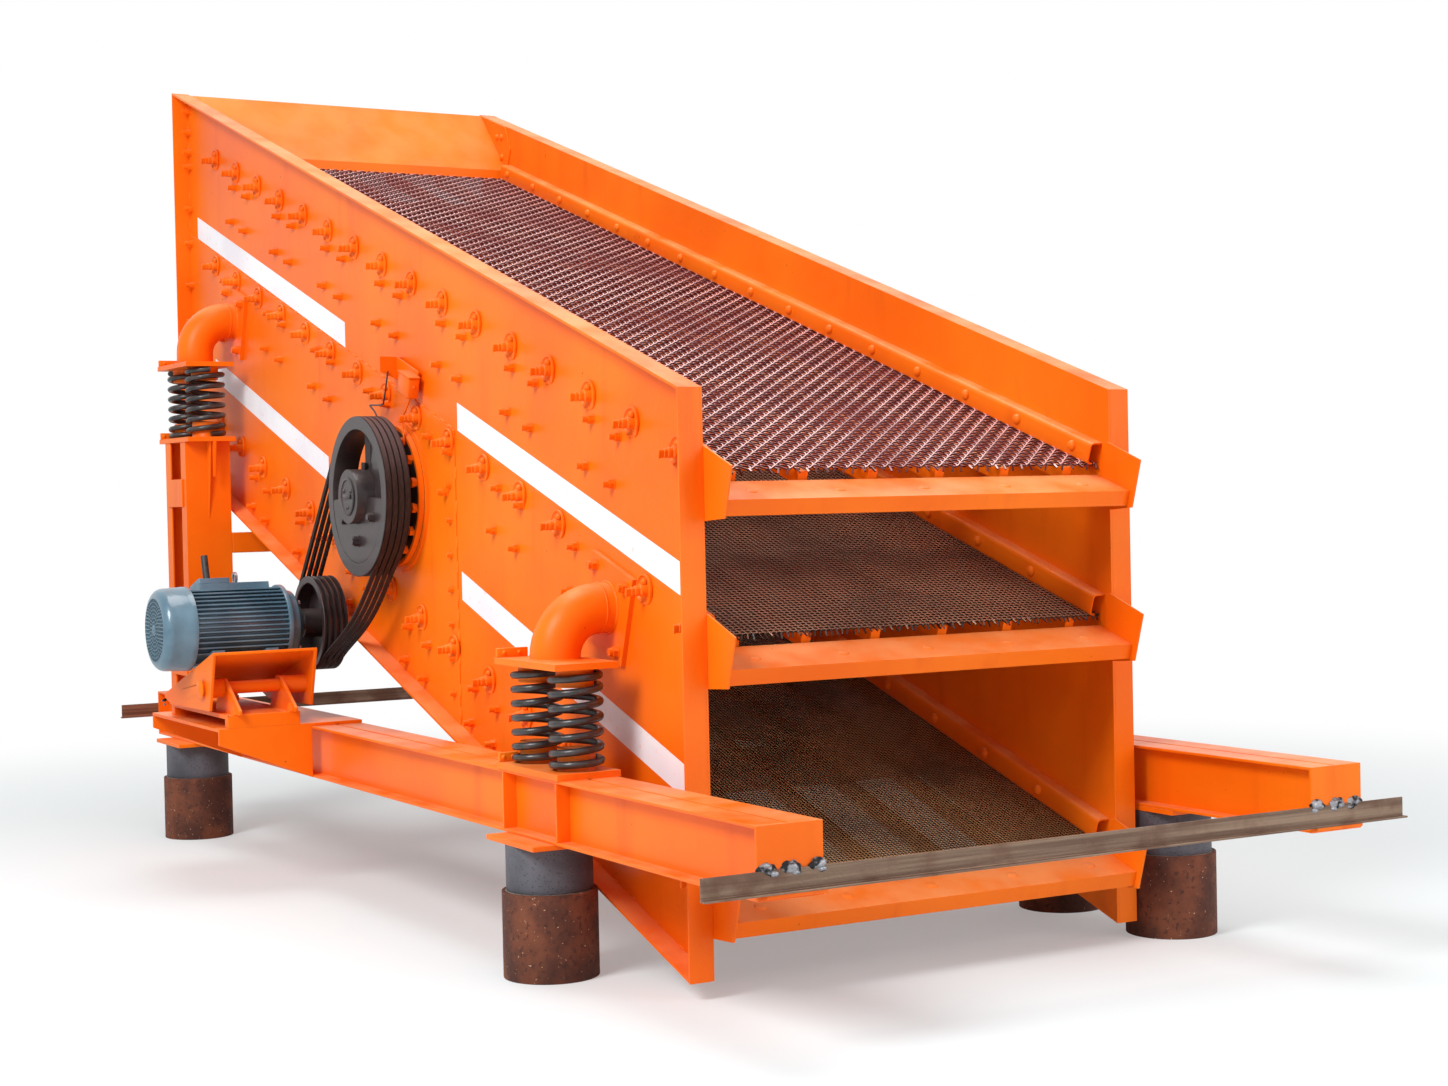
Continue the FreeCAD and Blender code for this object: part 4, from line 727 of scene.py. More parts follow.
def rail_length(start, end, level):
    """A clamp rail folded from plate: flat top, rounded shoulder, inner face and a turned-out foot."""
    rail = Shape()
    width = RAIL_WIDTH - RAIL_WALL / 2
    height = RAIL_HEIGHT - RAIL_WALL / 2
    middle_x, middle_z = width - RAIL_ROUNDING, height - RAIL_ROUNDING
    points = [(0.0, height)]
    for step in range(7):
        turn = pi / 2 * (1 - step / 6)
        points.append((middle_x + RAIL_ROUNDING * cos(turn), middle_z + RAIL_ROUNDING * sin(turn)))
    points += [(width, 0.014), (width - 0.004, 0.006), (width - 0.012, 0.003), (width - 0.026, 0.003)]
    verts = [rail.bm.verts.new((x, start, z)) for x, z in points]
    edges = [rail.bm.edges.new(ends) for ends in zip(verts, verts[1:])]
    pulled = bmesh.ops.extrude_edge_only(rail.bm, edges=edges)["geom"]
    moving = [part for part in pulled if isinstance(part, bmesh.types.BMVert)]
    bmesh.ops.translate(rail.bm, vec=(0, end - start, 0), verts=moving)
    bmesh.ops.solidify(rail.mended().bm, geom=rail.bm.faces[:], thickness=RAIL_WALL)
    return rail.mended().moved(DECK @ at(-PLATE_IN, 0, level))


def clamp_rails():
    """The rails that hold the cloths down; the lowest one is in two lengths with a joint between."""
    rails = Shape()
    bolts = Shape()
    head = domed_bolt(0.022, 0.015, 20)
    for name, (low, high) in DECKS.items():
        joints = [low.y, high.y]
        if name == "bottom":
            joints.insert(1, low.y + RAIL_JOINT)
        for start, end in zip(joints, joints[1:]):
            rails.add(rail_length(start, end - 0.006, high.z))
        first, pitch, rise = TENSION_ROWS[name]
        for number in range(BOLTS_PER_ROW):
            spot = first - pitch * number
            if spot > low.y + 0.05:
                place = at(RAIL_WIDTH - PLATE_IN, spot, high.z + 0.048)
                bolts.add(head, DECK @ place @ INWARDS)
    thing = rails.both_sides().piece("folded_clamp_rails", crease=50)
    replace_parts(thing, "clamp_rails")
    bolts.both_sides().piece("clamp_bolts")


LIP_SINK = 0.030
LIP_REACH = 0.118
LIP_BOLT_PITCH = 0.375


def lip_bolts():
    """Flat heads along each discharge lip."""
    bolts = Shape()
    head = domed_bolt(0.024, 0.005, 20)
    for low, high in DECKS.values():
        along = low.y - LIP_REACH - LIP_SINK * tan(INCLINE)
        spots = [at(place * LIP_BOLT_PITCH, along, low.z - LIP_SINK) for place in range(-2, 3)]
        bolts.add(head, *[DECK @ spot for spot in spots])
    bolts.piece("lip_bolts")


def bracket_bolts():
    """Two pairs of domed bolts in each bracket of the back plate."""
    low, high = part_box("back_brackets")
    spots = ((0.30, 0.09), (0.30, 0.21), (0.235, 0.10), (0.235, 0.22))
    places = [at(low.x + 0.008, high.y - y, low.z + z) @ INWARDS for y, z in spots]
    Shape().add(domed_bolt(0.02, 0.014), *places).both_sides().piece("bracket_bolts")


# White stripes, painted along the deck with upright ends, and bare gaps between them: each by the y of
# its rear and front ends and its lower and upper edges above the deck's axis

STRIPES = (
    (3.352, 1.006, 0.478, 0.594),
    (-0.351, -2.362, 0.478, 0.594),
    (3.060, 1.263, -0.222, -0.104),
    (-0.361, -2.377, -0.222, -0.104),
)
STRIPE_WALL = 0.0012


def stripes():
    """Thin plates of paint on the side plates; sheet_metal's x runs down the deck once it faces outwards."""
    paint = Shape()
    for rear, front, low, high in STRIPES:
        spots = ((rear, low), (front, low), (front, high), (rear, high))
        corners = [(-along_at(y, above), above) for y, above in spots]
        inside = (corners[0][0] + corners[1][0]) / -2
        out = skin(inside, (low + high) / 2) - 0.0002
        place = DECK @ at(-out, 0, 0) @ OUTWARDS
        paint.add(sheet_metal(corners, STRIPE_WALL), place)
    paint.both_sides().piece("white_stripes", "screen_box", "stripe_paint")


# Woven wire cloths, each in panels, their wires passing over and under each other


def weave_cell(pitch, radius, sides, bends, sway):
    """Two wires each way over two pitches, so that copies of the cell join up."""
    cell = Shape()
    for way in range(2):
        for number in range(2):
            offset = pitch * (number + 0.5)
            first = len(cell.bm.verts)
            circle = bmesh.ops.create_circle(
                cell.bm, segments=sides, radius=radius, matrix=about("Z", pi / 4)
            )["verts"]
            edges = list({edge for vert in circle for edge in vert.link_edges})
            swept(cell.bm, circle + edges, 2 * bends, angle=0, dvec=(0, 0, pitch / bends))
            cell.bm.verts.ensure_lookup_table()
            for vert in cell.bm.verts[first:]:
                wave = cos(pi * (vert.co.z / pitch + 0.5 + number + way))
                across, rise, run = vert.co.x, vert.co.y + wave * radius * 0.8, vert.co.z
                if way:
                    vert.co = (run, offset + across + wave * sway * pitch, rise)
                else:
                    vert.co = (offset + across + wave * sway * pitch * 0.6, run, rise)
    return cell.mended()


def cloth(name, pitch, radius, sides, bends, sway, panels):
    """Lay copies of one cell of weave over a deck, a panel at a time."""
    low, high = DECKS[name]
    cell = weave_cell(pitch, radius, sides, bends, sway)
    across = round((high.x - low.x) / (2 * pitch))
    along = round((high.y - low.y) / (2 * pitch) / panels)
    stretch_x = (high.x - low.x) / (across * 2 * pitch)
    stretch_y = (high.y - low.y) / (along * panels * 2 * pitch)
    mesh = bpy.data.meshes.new("cell")
    cell.bm.to_mesh(mesh)
    holder = shown("cell", mesh)
    for count, shift in ((across, (2 * pitch, 0, 0)), (along, (0, 2 * pitch, 0))):
        repeat = holder.modifiers.new("repeat", "ARRAY")
        repeat.count = count
        repeat.use_relative_offset = False
        repeat.use_constant_offset = True
        repeat.constant_offset_displace = shift
        repeat.use_merge_vertices = True
        repeat.merge_threshold = radius * 0.2
    woven = outcome(holder)
    for panel in range(panels):
        laid = woven.copy()
        start = Vector((low.x, low.y + along * panel * 2 * pitch * stretch_y, low.z + radius * 1.8))
        laid.transform(DECK @ at(*start) @ Matrix.Diagonal((stretch_x, stretch_y, 1, 1)))
        thing = mesh_piece(laid, f"{name}_weave_{panel + 1}", "screen_box", name + "_wire", 80)
        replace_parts(thing, name + "_cloth")


def wire_ends(name, pitch, radius):
    """Cut ends of the wires that run down the deck, bent every way at its lower edge."""
    low, high = DECKS[name]
    ends = Shape()
    stub = prism(4, radius, 0.026, -0.004)
    for number in range(round((high.x - low.x) / pitch)):
        place = at(low.x + pitch * (number + 0.5), low.y + 0.003, low.z + radius * 1.8)
        droop = about("X", radians(random.uniform(95, 165)))
        ends.add(stub, DECK @ place @ about("Y", random.uniform(-0.6, 0.6)) @ droop)
    ends.piece(name + "_wire_ends", "screen_box", name + "_wire", 80)


# Springs

SPRING_RADIUS = 0.0915
SPRING_WIRE = 0.0145
SPRING_SHIFT = 0.165
SPRING_TURNS = 7.0
CLOSE_PITCH = 2.1


def coil(radius, wire_radius, height, turns, sides=10, steps=20):
    """A coil spring: close-wound end coils, open turns between, the wire round in section."""
    shape = Shape()
    facing = at(radius, 0, wire_radius) @ about("X", pi / 2)
    circle = bmesh.ops.create_circle(
        shape.bm, segments=sides, radius=wire_radius, cap_ends=True, matrix=facing
    )["verts"]
    closed = 0.75
    close_rise = wire_radius * CLOSE_PITCH * closed
    open_rise = height - 2 * wire_radius - 2 * close_rise
    grown = circle + list(circle[0].link_faces[0].edges)
    for span, rise in ((closed, close_rise), (turns - 2 * closed, open_rise), (closed, close_rise)):
        count = round(span * steps)
        grown = swept(shape.bm, grown, count, tau * span, dvec=(0, 0, rise / count))
    loop = [part for part in grown if isinstance(part, bmesh.types.BMEdge)]
    bmesh.ops.contextual_create(shape.bm, geom=loop)
    return shape.mended()


def springs(name, low, high):
    """Two springs beside each other at each of two supports."""
    y = (low.y + high.y) / 2
    group = Shape()
    unit = coil(SPRING_RADIUS, SPRING_WIRE, high.z - low.z, SPRING_TURNS, 12)
    inset = SPRING_RADIUS + SPRING_WIRE
    for across in (low.x + inset, high.x - inset):
        for shift in (-SPRING_SHIFT, SPRING_SHIFT):
            turn = about("Z", random.uniform(0, tau))
            group.add(unit, at(across, y + shift, low.z) @ turn)
    thing = group.piece(name, None, "spring_steel", 60)
    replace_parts(thing, name.replace("_coils", "_springs"))
    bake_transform(thing)


# V-belts

BELT_SLACK = 0.05
BELT_COUNT = 4
BELT_PITCH = 0.029


def belts():
    """Four wedge-shaped belts: the rear run straight, the front run slack and bowed outwards."""
    motor = middle_of("motor_shaft")
    big = radius_of("drive_pulley") + 0.001
    small = radius_of("motor_pulley") + 0.001
    reach = Vector((0, motor.y - SHAFT.y, motor.z - SHAFT.z))
    heading = atan2(reach.z, reach.y)
    spread = acos((big - small) / reach.length)
    run = sqrt(reach.length_squared - (big - small) ** 2)
    belt = Shape()
    half, foot, depth = 0.011, 0.0063, 0.014
    rim = about("X", spread)
    corners = ((-half, big), (half, big), (foot, big - depth), (-foot, big - depth))
    section = [belt.bm.verts.new(rim @ Vector((x, radius, 0))) for x, radius in corners]
    grown = section + [belt.bm.edges.new((section[i], section[i - 1])) for i in range(4)]
    run_steps = 24
    tilt = pi / 2 - spread
    there = Vector((0, cos(tilt), sin(tilt))) * run / run_steps
    back = Vector((0, -cos(tilt), sin(tilt))) * run / run_steps
    for centre, angle, steps, shift in (
        (0, tau - 2 * spread, 48, (0, 0, 0)),
        (0, 0, run_steps, there),
        (reach.length, 2 * spread, 32, (0, 0, 0)),
        (0, 0, run_steps, back),
    ):
        grown = swept(belt.bm, grown, steps, angle, (0, centre, 0), (1, 0, 0), dvec=shift)
    bmesh.ops.remove_doubles(belt.bm, verts=belt.bm.verts, dist=1e-5)
    for vert in belt.bm.verts:
        share = vert.co.y / reach.length
        if vert.co.z < 0 and 0 < share < 1:
            vert.co.z -= BELT_SLACK * sin(pi * share) ** 1.5
    belt.mended().moved(about("X", heading))
    group = Shape()
    for number in range(BELT_COUNT):
        across = middle_of("v_belts").x + BELT_PITCH * (number - (BELT_COUNT - 1) / 2)
        group.add(belt, on_axis(across, SHAFT))
    thing = group.piece("drive_belts", None, "belt_rubber", 30)
    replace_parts(thing, "v_belts")
    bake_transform(thing)


# Wheels' details

WEB_RIM = 0.309
WEB_HUB = 0.123
WEB_WALL = 0.024


def sector(start, end, steps):
    """Outline of the part of the web between two angles in degrees, from the hub to the rim."""
    turns = [radians(start + (end - start) * step / steps) for step in range(steps + 1)]
    outer = [(WEB_RIM * cos(turn), WEB_RIM * sin(turn)) for turn in turns]
    inner = [(WEB_HUB * cos(turn), WEB_HUB * sin(turn)) for turn in reversed(turns)]
    return outer + inner


def wheel_web():
    """The web that closes the front quarter of the wheel's window, with a pocket beside its upright edge."""
    web = sheet_metal(sector(12, 66, 8), WEB_WALL)
    pocket = sheet_metal(sector(66, 90, 4), WEB_WALL)
    face = max(pocket.bm.faces, key=lambda face: face.calc_center_median().z)
    bmesh.ops.inset_region(pocket.bm, faces=[face], thickness=0.016, depth=0.0)
    bmesh.ops.translate(pocket.bm, vec=(0, 0, -0.02), verts=face.verts[:])
    return web.add(pocket)


def wheel_details():
    """On each wheel: the hub's clamping bush and screws, the weights' bolts, the closed web and a knob."""
    low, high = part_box("drive_pulley")
    profile = [(0, 0), (0.088, 0), (0.088, 0.004), (0.084, 0.006), (0.076, 0.006), (0.074, 0.002), (0, 0.002)]
    details = Shape().add(lathe(profile, 48))
    for angle in (0.5, 2.6, 4.7):
        spot = at(0.05 * cos(angle), 0.05 * sin(angle), 0.001)
        details.add(domed_bolt(0.011, 0.009, 12), spot)
    details.add(block((-0.045, -0.011, 0.0), (0.045, 0.011, 0.008), 0.002))
    details.moved(on_axis(low.x, SHAFT) @ OUTWARDS)
    web_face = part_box("eccentric_weights")[0].x
    for angle, reach, size in ((-1.62, 0.205, 0.023), (-2.70, 0.222, 0.021), (-0.62, 0.2, 0.012)):
        spot = on_axis(web_face, SHAFT, reach, angle)
        details.add(hex_bolt(size, size, size * 0.5), spot @ OUTWARDS)
    details.add(wheel_web(), on_axis(high.x - 0.048, SHAFT) @ OUTWARDS)
    knob = about("X", radians(7)) @ at(high.x - 0.085, 0, 0.122)
    details.add(prism(12, 0.014, 0.034), on_axis(0, SHAFT) @ knob)
    details.both_sides().piece("hub_details", "exciter_rotor", "wheel_paint")


# Motor


def motor_wheel():
    """The motor's grooved wheel: a thin rim, a web set deep in it and a hub towards the motor."""
    low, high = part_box("motor_pulley")
    radius = (high.y - low.y) / 2
    inner = radius - 0.034
    root = radius - 0.019
    bore, hub, width = 0.031, 0.07, 0.120
    web_face, web_back = 0.07, 0.094
    profile = [(bore, -0.035), (hub, -0.035), (hub, web_face), (inner, web_face), (inner, 0.004)]
    profile += [(inner + 0.004, 0), (radius - 0.003, 0), (radius, 0.003)]
    for number in range(BELT_COUNT):
        middle = width / 2 + BELT_PITCH * (number - (BELT_COUNT - 1) / 2)
        profile += [(radius, middle - 0.0116), (root, middle - 0.0051)]
        profile += [(root, middle + 0.0051), (radius, middle + 0.0116)]
    profile += [(radius, width - 0.001), (radius - 0.001, width), (inner, width), (inner, web_back)]
    profile += [(hub, web_back), (hub, width), (bore, width)]
    wheel = ring([(reach, -height) for reach, height in profile], 64)
    wheel.moved(on_axis(high.x - width, middle_of("motor_pulley")) @ OUTWARDS)
    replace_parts(wheel.piece("motor_wheel", "motor_rotor", "wheel_paint"), "motor_pulley")


def motor_details():
    """The fan cowl, pressed from sheet with a rounded end, its grille and the motor's screws."""
    low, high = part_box("fan_cowl")
    axis = middle_of("fan_cowl")
    radius = (high.y - low.y) / 2
    vent = (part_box("cowl_grille")[1].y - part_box("cowl_grille")[0].y) / 2
    length = high.x - low.x
    wall = 0.003
    rounding = radius - vent - 0.004
    turns = [step * pi / 16 for step in range(9)]
    bend = [(vent + rounding * sin(turn), rounding * (1 - cos(turn))) for turn in turns]
    outer = [(vent, 0), *bend[1:], (radius - 0.001, length * 0.82), (radius, length * 0.83), (radius, length)]
    inner = [(r - wall, h + wall * 0.6) for r, h in reversed(bend[1:])]
    profile = [*outer, (radius - wall, length), *inner, (vent, wall)]
    cowl = ring(profile, 72)
    place = on_axis(low.x, axis) @ OUTWARDS @ about("X", pi)
    thing = cowl.moved(place).piece("cowl_shell", "motor_cradle", "motor_paint", 40)
    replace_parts(thing, "fan_cowl")
    grille(place, vent)
    motor_screws(axis)


GRILLE_ROWS = 7


def grille(place, vent):
    """A pressed disc with rows of holes round its boss."""
    disc = Shape()
    inner_radius = 0.022
    pitch = (vent - inner_radius) / GRILLE_ROWS
    for row in range(GRILLE_ROWS):
        near = inner_radius + pitch * row
        count = round(tau * (near + pitch / 2) / pitch)
        band = Shape()
        verts = [band.bm.verts.new((near + pitch * share, 0, 0)) for share in (-0.02, 1.02)]
        edge = band.bm.edges.new(verts)
        swept(band.bm, [*verts, edge], count, use_merge=True)
        bmesh.ops.inset_individual(band.bm, faces=band.bm.faces[:], thickness=pitch * 0.22)
        bmesh.ops.delete(band.bm, geom=inner_faces(band, near, pitch), context="FACES")
        bmesh.ops.solidify(band.bm, geom=band.bm.faces[:], thickness=0.0025)
        disc.add(band)
    boss = [(0, -0.002), (inner_radius + 0.004, -0.002), (inner_radius, -0.006), (0.012, -0.007), (0, -0.004)]
    disc.add(lathe(boss, 32))
    disc.mended().moved(place @ at(0, 0, 0.002))
    thing = disc.piece("grille_disc", "motor_cradle", "motor_paint")
    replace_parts(thing, "cowl_grille")


def inner_faces(band, near, pitch):
    """The faces that an inset left in the middle of each cell of a band."""
    found = []
    for face in band.bm.faces:
        radius = face.calc_center_median().xy.length
        reaches = [vert.co.xy.length for vert in face.verts]
        if abs(radius - near - pitch / 2) < pitch * 0.12 and max(reaches) - min(reaches) < pitch * 0.8:
            if all(0.1 * pitch < reach - near < 0.9 * pitch for reach in reaches):
                found.append(face)
    return found


def motor_screws(axis):
    """Four screws round the end bell on the wheel's side."""
    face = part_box("drive_end_bell")[1].x - 0.030
    turns = [pi / 4 + pi / 2 * number for number in range(4)]
    places = [on_axis(face, axis, 0.150, turn) @ about("Z", pi) @ OUTWARDS for turn in turns]
    Shape().add(hex_bolt(0.011, 0.01), *places).piece("motor_screws", "motor_cradle", "shaft_steel")


# Fittings of the frame and the spring seats


def frame_bolts():
    """Bolts through the cradle's base, and the cap on the pivot's outer end."""
    low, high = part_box("cradle_base")
    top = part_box("motor_bracket")[1].z + 0.060
    corners = [at(x, y, top) for x in (low.x + 0.04, high.x - 0.04) for y in (low.y + 0.06, high.y - 0.05)]
    Shape().add(hex_bolt(0.02, 0.018, 0.02), *corners).piece("base_bolts", "base_frame")
    pivot_end = on_axis(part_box("pivot_tube")[0].x, middle_of("pivot_tube"))
    domed_bolt(0.046, 0.012, 32).moved(pivot_end @ OUTWARDS).piece("pivot_cap", "base_frame")


SEAT_WALL = 0.025


def seat_details():
    """Keeper bars on the spring seats' rear corners, longer stubs in the springs, a rib on each column."""
    for node, length, reach in (("lower_spring_seats", 0.085, 0.082), ("upper_spring_seats", 0.135, 0.068)):
        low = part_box(node)[0]
        details = Shape()
        for y, level in seat_levels(node):
            corner = (low.x + length, y + 0.266, level + 0.036)
            details.add(block((low.x + 0.004, y + 0.248, level), corner, 0.003))
            for share in (0.25, 0.72):
                spot = at(low.x + length * share, y + 0.248, level + 0.018)
                details.add(domed_bolt(0.009, 0.007, 10), spot @ TO_FRONT)
            foot = level if node.startswith("lower") else level - SEAT_WALL - reach
            for shift in (-SPRING_SHIFT, SPRING_SHIFT):
                details.add(prism(32, 0.0715, reach, foot), at(RAIL_X, y + shift, 0))
        body = "base_frame" if node.startswith("lower") else "screen_box"
        details.both_sides().piece(node.split("_")[0] + "_seat_details", body)
    rib = sheet_metal([(0, 0), (0.036, 0), (0.008, -0.19), (0, -0.19)], 0.012)
    stand = Matrix(((0, 0, 1), (-1, 0, 0), (0, 1, 0))).to_4x4()
    rib.moved(at(RAIL_X + 0.008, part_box("left_column")[0].y, rear_spring_low.z - SEAT_WALL) @ stand)
    rib.both_sides().piece("column_ribs", "base_frame")


def seat_levels(node):
    """The y of each support and the height of its seat plate's upper face."""
    if node.startswith("lower"):
        return ((FRONT_Y, front_spring_low.z), (REAR_Y, rear_spring_low.z))
    return ((FRONT_Y, front_spring_high.z + SEAT_WALL), (REAR_Y, rear_spring_high.z + SEAT_WALL))


def tie_bar_tabs():
    """A thin plate on each rail's end, under the front tie bar."""
    low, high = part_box("front_tie_bar")
    rail_low, rail_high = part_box("left_rail_beams")
    tab = block((rail_low.x + 0.02, low.y + 0.005, low.z - 0.012), (rail_high.x, high.y, low.z), 0.002)
    tab.both_sides().piece("tie_bar_tabs", "base_frame")


# Welds


def blob(size):
    """A lump of weld, uneven all round."""
    lump = Shape()
    bmesh.ops.create_icosphere(lump.bm, subdivisions=3, radius=size)
    shift = Vector((random.uniform(0, 9), random.uniform(0, 9), random.uniform(0, 9)))
    for vert in lump.bm.verts:
        vert.co *= 1 + 0.5 * noise.noise(vert.co / size * 1.4 + shift)
    return lump.moved(Matrix.Diagonal((1.25, 0.55, 0.8, 1)))


def tie_bar_welds():
    """Three lumps of weld where each tie bar meets the end of a rail."""
    welds = Shape()
    for node, way in (("front_tie_bar", -1), ("rear_tie_bar", 1)):
        low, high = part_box(node)
        y = high.y if way < 0 else low.y
        for shift in (-0.085, 0.0, 0.085):
            spot = at(RAIL_X + shift + random.uniform(-0.01, 0.01), y, high.z + 0.004)
            welds.add(blob(0.026), spot)
            welds.add(blob(0.014), spot @ at(0.018, 0.004 * way, -0.016))
    welds.both_sides().piece("tie_bar_welds", "base_frame", "weld_metal", 60)


def bead(length, radius=0.0045):
    """A short fillet of weld along X."""
    shape = Shape()
    bmesh.ops.create_icosphere(shape.bm, subdivisions=2, radius=1)
    return shape.moved(Matrix.Diagonal((length / 2, radius, radius, 1)))


def flange_welds():
    """Short beads where the edge flanges and the doubler meet the side plate."""
    low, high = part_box("edge_flanges")
    welds = Shape()
    small, large = bead(0.045), bead(0.06, 0.0065)
    upright = about("Y", pi / 2)
    lengthwise = about("Z", pi / 2)
    deck_low, deck_high = deck_box("left_side_plate")
    for y in (low.y + 0.011, high.y - 0.011):
        z, z_high = ((DECK @ Vector((0, along_at(y, above), above))).z for above in (deck_low.z, deck_high.z))
        z += 0.12
        while z < z_high - 0.06:
            welds.add(small, at(plate_low.x - 0.001, y, z) @ upright)
            z += random.uniform(0.11, 0.17)
    rows = [(above, low.y, high.y, 0.16, small) for above in (deck_high.z - 0.011, deck_low.z + 0.011)]
    rows.append((DOUBLER_TOP + 0.003, doubler_low.y, doubler_high.y - 0.1, 0.1, large))
    for above, front, rear, pitch, unit in rows:
        along = along_at(front, above) + 0.05
        while along < along_at(rear, above) - 0.05:
            welds.add(unit, DECK @ at(-PLATE_OUT - 0.001, along, above) @ lengthwise)
            along += random.uniform(0.8, 1.25) * pitch
    above = deck_low.z + 0.06
    while above < DOUBLER_TOP - 0.04:
        place = at(-PLATE_OUT - 0.001, along_at(doubler_low.y - 0.002, above), above)
        welds.add(large, DECK @ place @ about("X", -INCLINE) @ upright)
        above += random.uniform(0.08, 0.15)
    welds.both_sides().piece("flange_welds", crease=60)


def elbow_welds():
    """Beads round each elbow: at its foot, where the bend meets the straight length, and at the flange."""
    welds = Shape()
    for (y, z), seat in zip(ELBOWS, seat_levels("upper_spring_seats")):
        flange = SHAFT.x - skin(*deck_spot(y, z)) - 0.020
        welds.add(hoop(0.098, 0.005), at(RAIL_X, y, seat[1]))
        welds.add(hoop(0.0965, 0.0045), at(RAIL_X + 0.180, y, z) @ OUTWARDS)
        welds.add(hoop(0.098, 0.007), at(flange, y, z) @ OUTWARDS)
    welds.both_sides().piece("elbow_welds", crease=60)


# Lubrication


def lubrication():
    """An angle bracket with the oil distributor on it, and the thin pipes that run down to the housing."""
    out = plate_low.x
    rear, top = deck_spot(0.278, 2.469)
    front = deck_spot(0.030, 2.389)[0]
    case_front, case_rear, lid_front, lid_rear = (deck_spot(y, 2.34)[0] for y in (0.006, 0.14, 0.002, 0.145))
    parts = Shape()
    parts.add(block((-0.024, front, top - 0.105), (-0.016, rear, top), 0.0015))
    parts.add(block((-0.02, rear - 0.008, top - 0.02), (0, rear, top)))
    parts.add(block((-0.080, case_front, top - 0.118), (-0.024, case_rear, top - 0.022), 0.007))
    parts.add(block((-0.084, lid_front, top - 0.022), (-0.024, lid_rear, top - 0.016), 0.002))
    fittings = Shape().add(parts, DECK @ at(-PLATE_OUT, 0, 0))
    gusset = [(0.0, 0.0), (0.106, 0.002), (0.106, -0.067), (0.012, -0.108), (0.0, -0.108)]
    fittings.add(sheet_metal(gusset, 0.007), at(out, 0.282, 2.469) @ TO_REAR)
    for share in (0.3, 0.75):
        screw = at(out - 0.052, 0.004 + 0.02 * share, 2.29 + 0.08 * share)
        fittings.add(domed_bolt(0.007, 0.005, 10), screw @ TO_FRONT)
    run = ((0.04, 2.300), (0.045, 2.275), (0.115, 2.213), (0.168, 2.173), (0.160, 2.150))
    painted = [(-0.782, y, z) for y, z in run] + [(-0.785, 0.130, 2.10), (-0.79, 0.125, 2.062)]
    fittings.add(pipe(painted, 0.0045))
    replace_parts(fittings.piece("oil_distributor", crease=50), "lubrication_box")
    run = ((0.270, 2.402), (0.285, 2.376), (0.300, 2.334), (0.330, 2.266), (0.345, 2.249))
    run += ((0.500, 2.258), (0.512, 2.256), (0.427, 2.214), (0.40, 2.16))
    black = [(-0.80, y, z) for y, z in run] + [(-0.79, 0.39, 2.10)]
    pipe(black, 0.004).piece("grease_pipe", "screen_box", "wheel_paint", 60)


# Stage, lights and camera


def stage():
    """A floor that fades into the white behind it and keeps the object's shadow."""
    shape = Shape()
    bmesh.ops.create_grid(shape.bm, x_segments=1, y_segments=1, size=60)
    mesh = bpy.data.meshes.new("floor")
    shape.bm.to_mesh(mesh)
    floor = shown("floor", mesh)
    mesh.materials.append(bpy.data.materials.new("floor"))
    finish = Finish(mesh.materials[0])
    finish.wear(Base_Color=(0.8, 0.87, 0.885, 1), Roughness=0.9)
    glow = finish.node("Emission", {}, {"Color": (1, 1, 1, 1), "Strength": 1.0})
    spot = finish.node("VectorMath", {"operation": "LENGTH"}, {0: finish.place}, "Value")
    seen = finish.node("LightPath", {}, {}, "Is Camera Ray")
    far = spot.step(4.0, 8.5) * 0.72 + 0.28
    shader = Field(finish, finish.shader.outputs[0])
    blend = finish.node("MixShader", {}, {0: far * seen, 1: shader, 2: glow})
    finish.tree.links.new(blend.socket, finish.tree.nodes["Material Output"].inputs[0])


WORLD_LEVEL = 0.42


def world():
    """White all round, dimmed where it only lights the object."""
    surroundings = bpy.data.worlds.new("studio")
    bpy.context.scene.world = surroundings
    finish = Finish(surroundings, "Background")
    seen = finish.node("LightPath", {}, {}, "Is Camera Ray")
    for ray in ("Is Glossy Ray", "Is Transmission Ray"):
        seen = seen.sum("MAXIMUM", seen, finish.node("LightPath", {}, {}, ray))
    level = finish.node("MapRange", {}, {"Value": seen, "To Min": WORLD_LEVEL, "To Max": 1.0})
    finish.wear(Color=(1, 1, 1, 1), Strength=level)


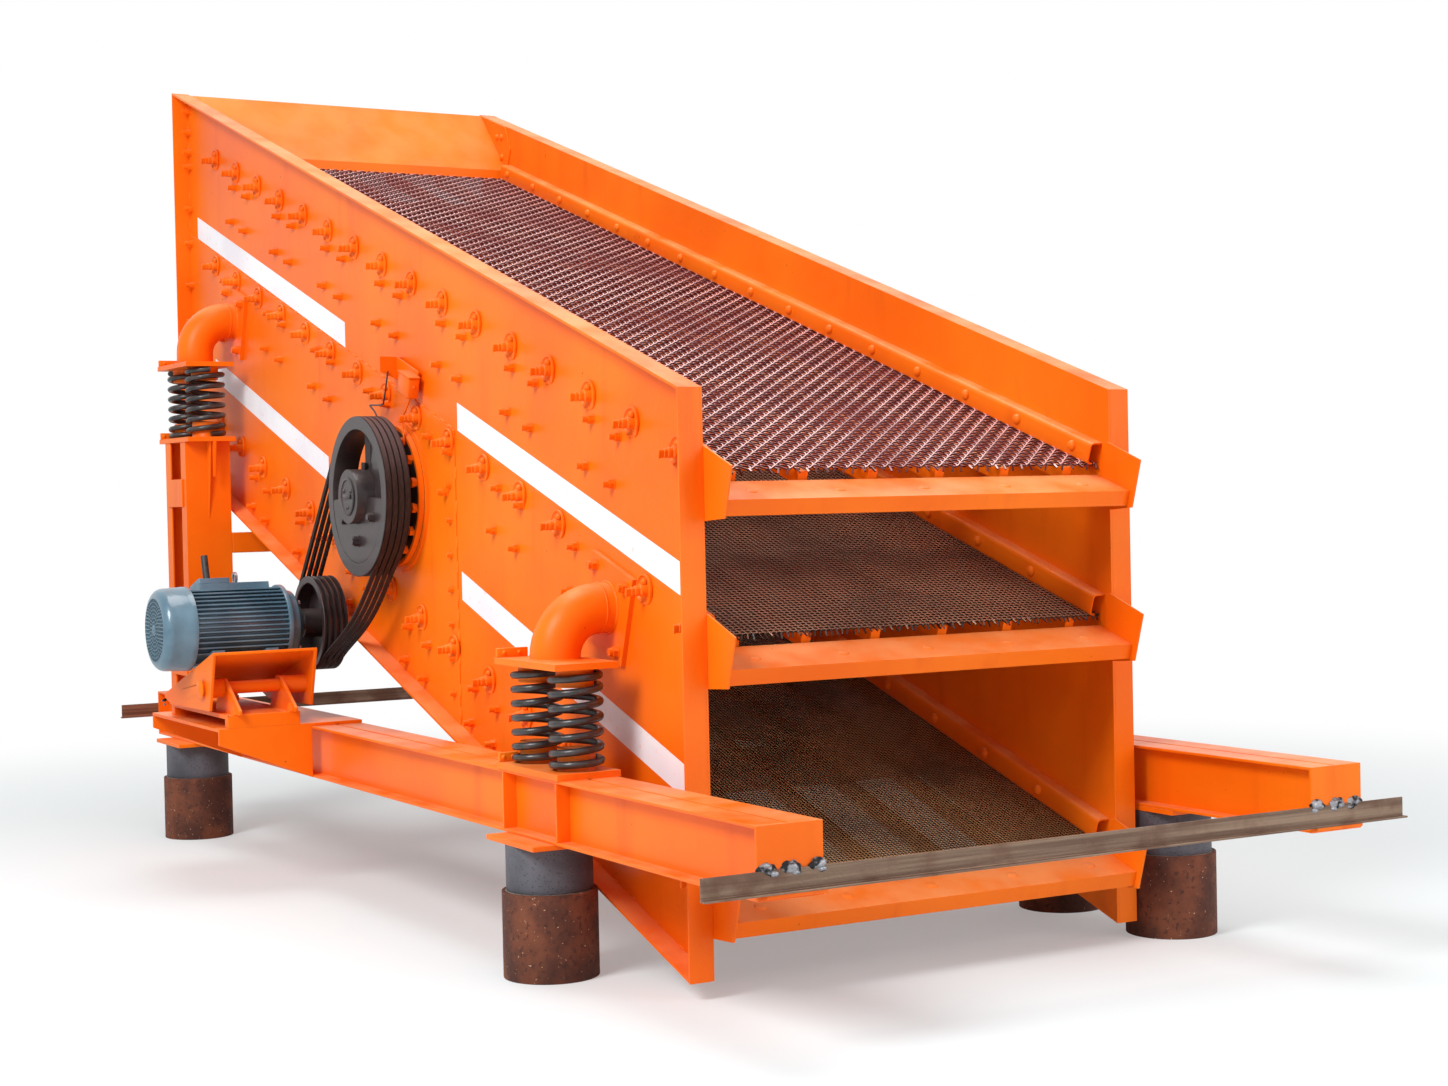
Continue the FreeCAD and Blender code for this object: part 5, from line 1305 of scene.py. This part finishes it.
def lamp(name, place, size, power):
    """A round lamp that looks at the object's middle."""
    light = bpy.data.lights.new(name, "AREA")
    light.shape = "DISK"
    light.size = size
    light.energy = power
    thing = shown(name, light)
    thing.location = place
    thing.rotation_euler = (Vector((0, 0, 1.6)) - Vector(place)).to_track_quat("-Z", "Y").to_euler()


def camera():
    """The photograph's viewpoint: a lens of 57 mm, 10 m off the discharge end's left corner."""
    view = bpy.data.cameras.new("camera")
    view.sensor_width = 36
    view.sensor_fit = "HORIZONTAL"
    view.lens = 56.651
    view.clip_end = 200
    yaw, pitch, roll = 0.5207, -0.0206, -0.0214
    forward = Vector((sin(yaw) * cos(pitch), cos(yaw) * cos(pitch), sin(pitch)))
    level = Vector((cos(yaw), -sin(yaw), 0))
    upright = level.cross(forward)
    right = level * cos(roll) + upright * sin(roll)
    above = upright * cos(roll) - level * sin(roll)
    thing = shown("camera", view)
    turn = Matrix((right, above, -forward)).transposed()
    thing.matrix_world = at(-4.6887, -9.5774, 1.7965) @ turn.to_4x4()
    bpy.context.scene.camera = thing


plate_bolts()
seam_bolts()
exciter_bolts()
elbow_bolts()
clamp_rails()
lip_bolts()
bracket_bolts()
stripes()
cloth("top", pitch=0.041, radius=0.0046, sides=4, bends=3, sway=0.27, panels=2)
cloth("middle", pitch=0.024, radius=0.0041, sides=4, bends=1, sway=0.0, panels=2)
cloth("bottom", pitch=0.016, radius=0.0041, sides=3, bends=1, sway=0.0, panels=3)
wire_ends("top", pitch=0.041, radius=0.0046)
wire_ends("middle", pitch=0.024, radius=0.0041)
wire_ends("bottom", pitch=0.016, radius=0.0036)
springs("front_coils", front_spring_low, front_spring_high)
springs("rear_coils", rear_spring_low, rear_spring_high)
belts()
wheel_details()
motor_wheel()
motor_details()
frame_bolts()
seat_details()
tie_bar_welds()
flange_welds()
elbow_welds()
lubrication()
tie_bar_tabs()
stage()
world()
lamp("key", (-8.5, -4.5, 8.0), 4.5, 950)
lamp("fill", (5.0, -11.0, 4.5), 7.0, 420)
lamp("top", (0, 0.5, 11.0), 7.0, 560)
camera()

scene = bpy.context.scene
scene.view_settings.view_transform = "Standard"
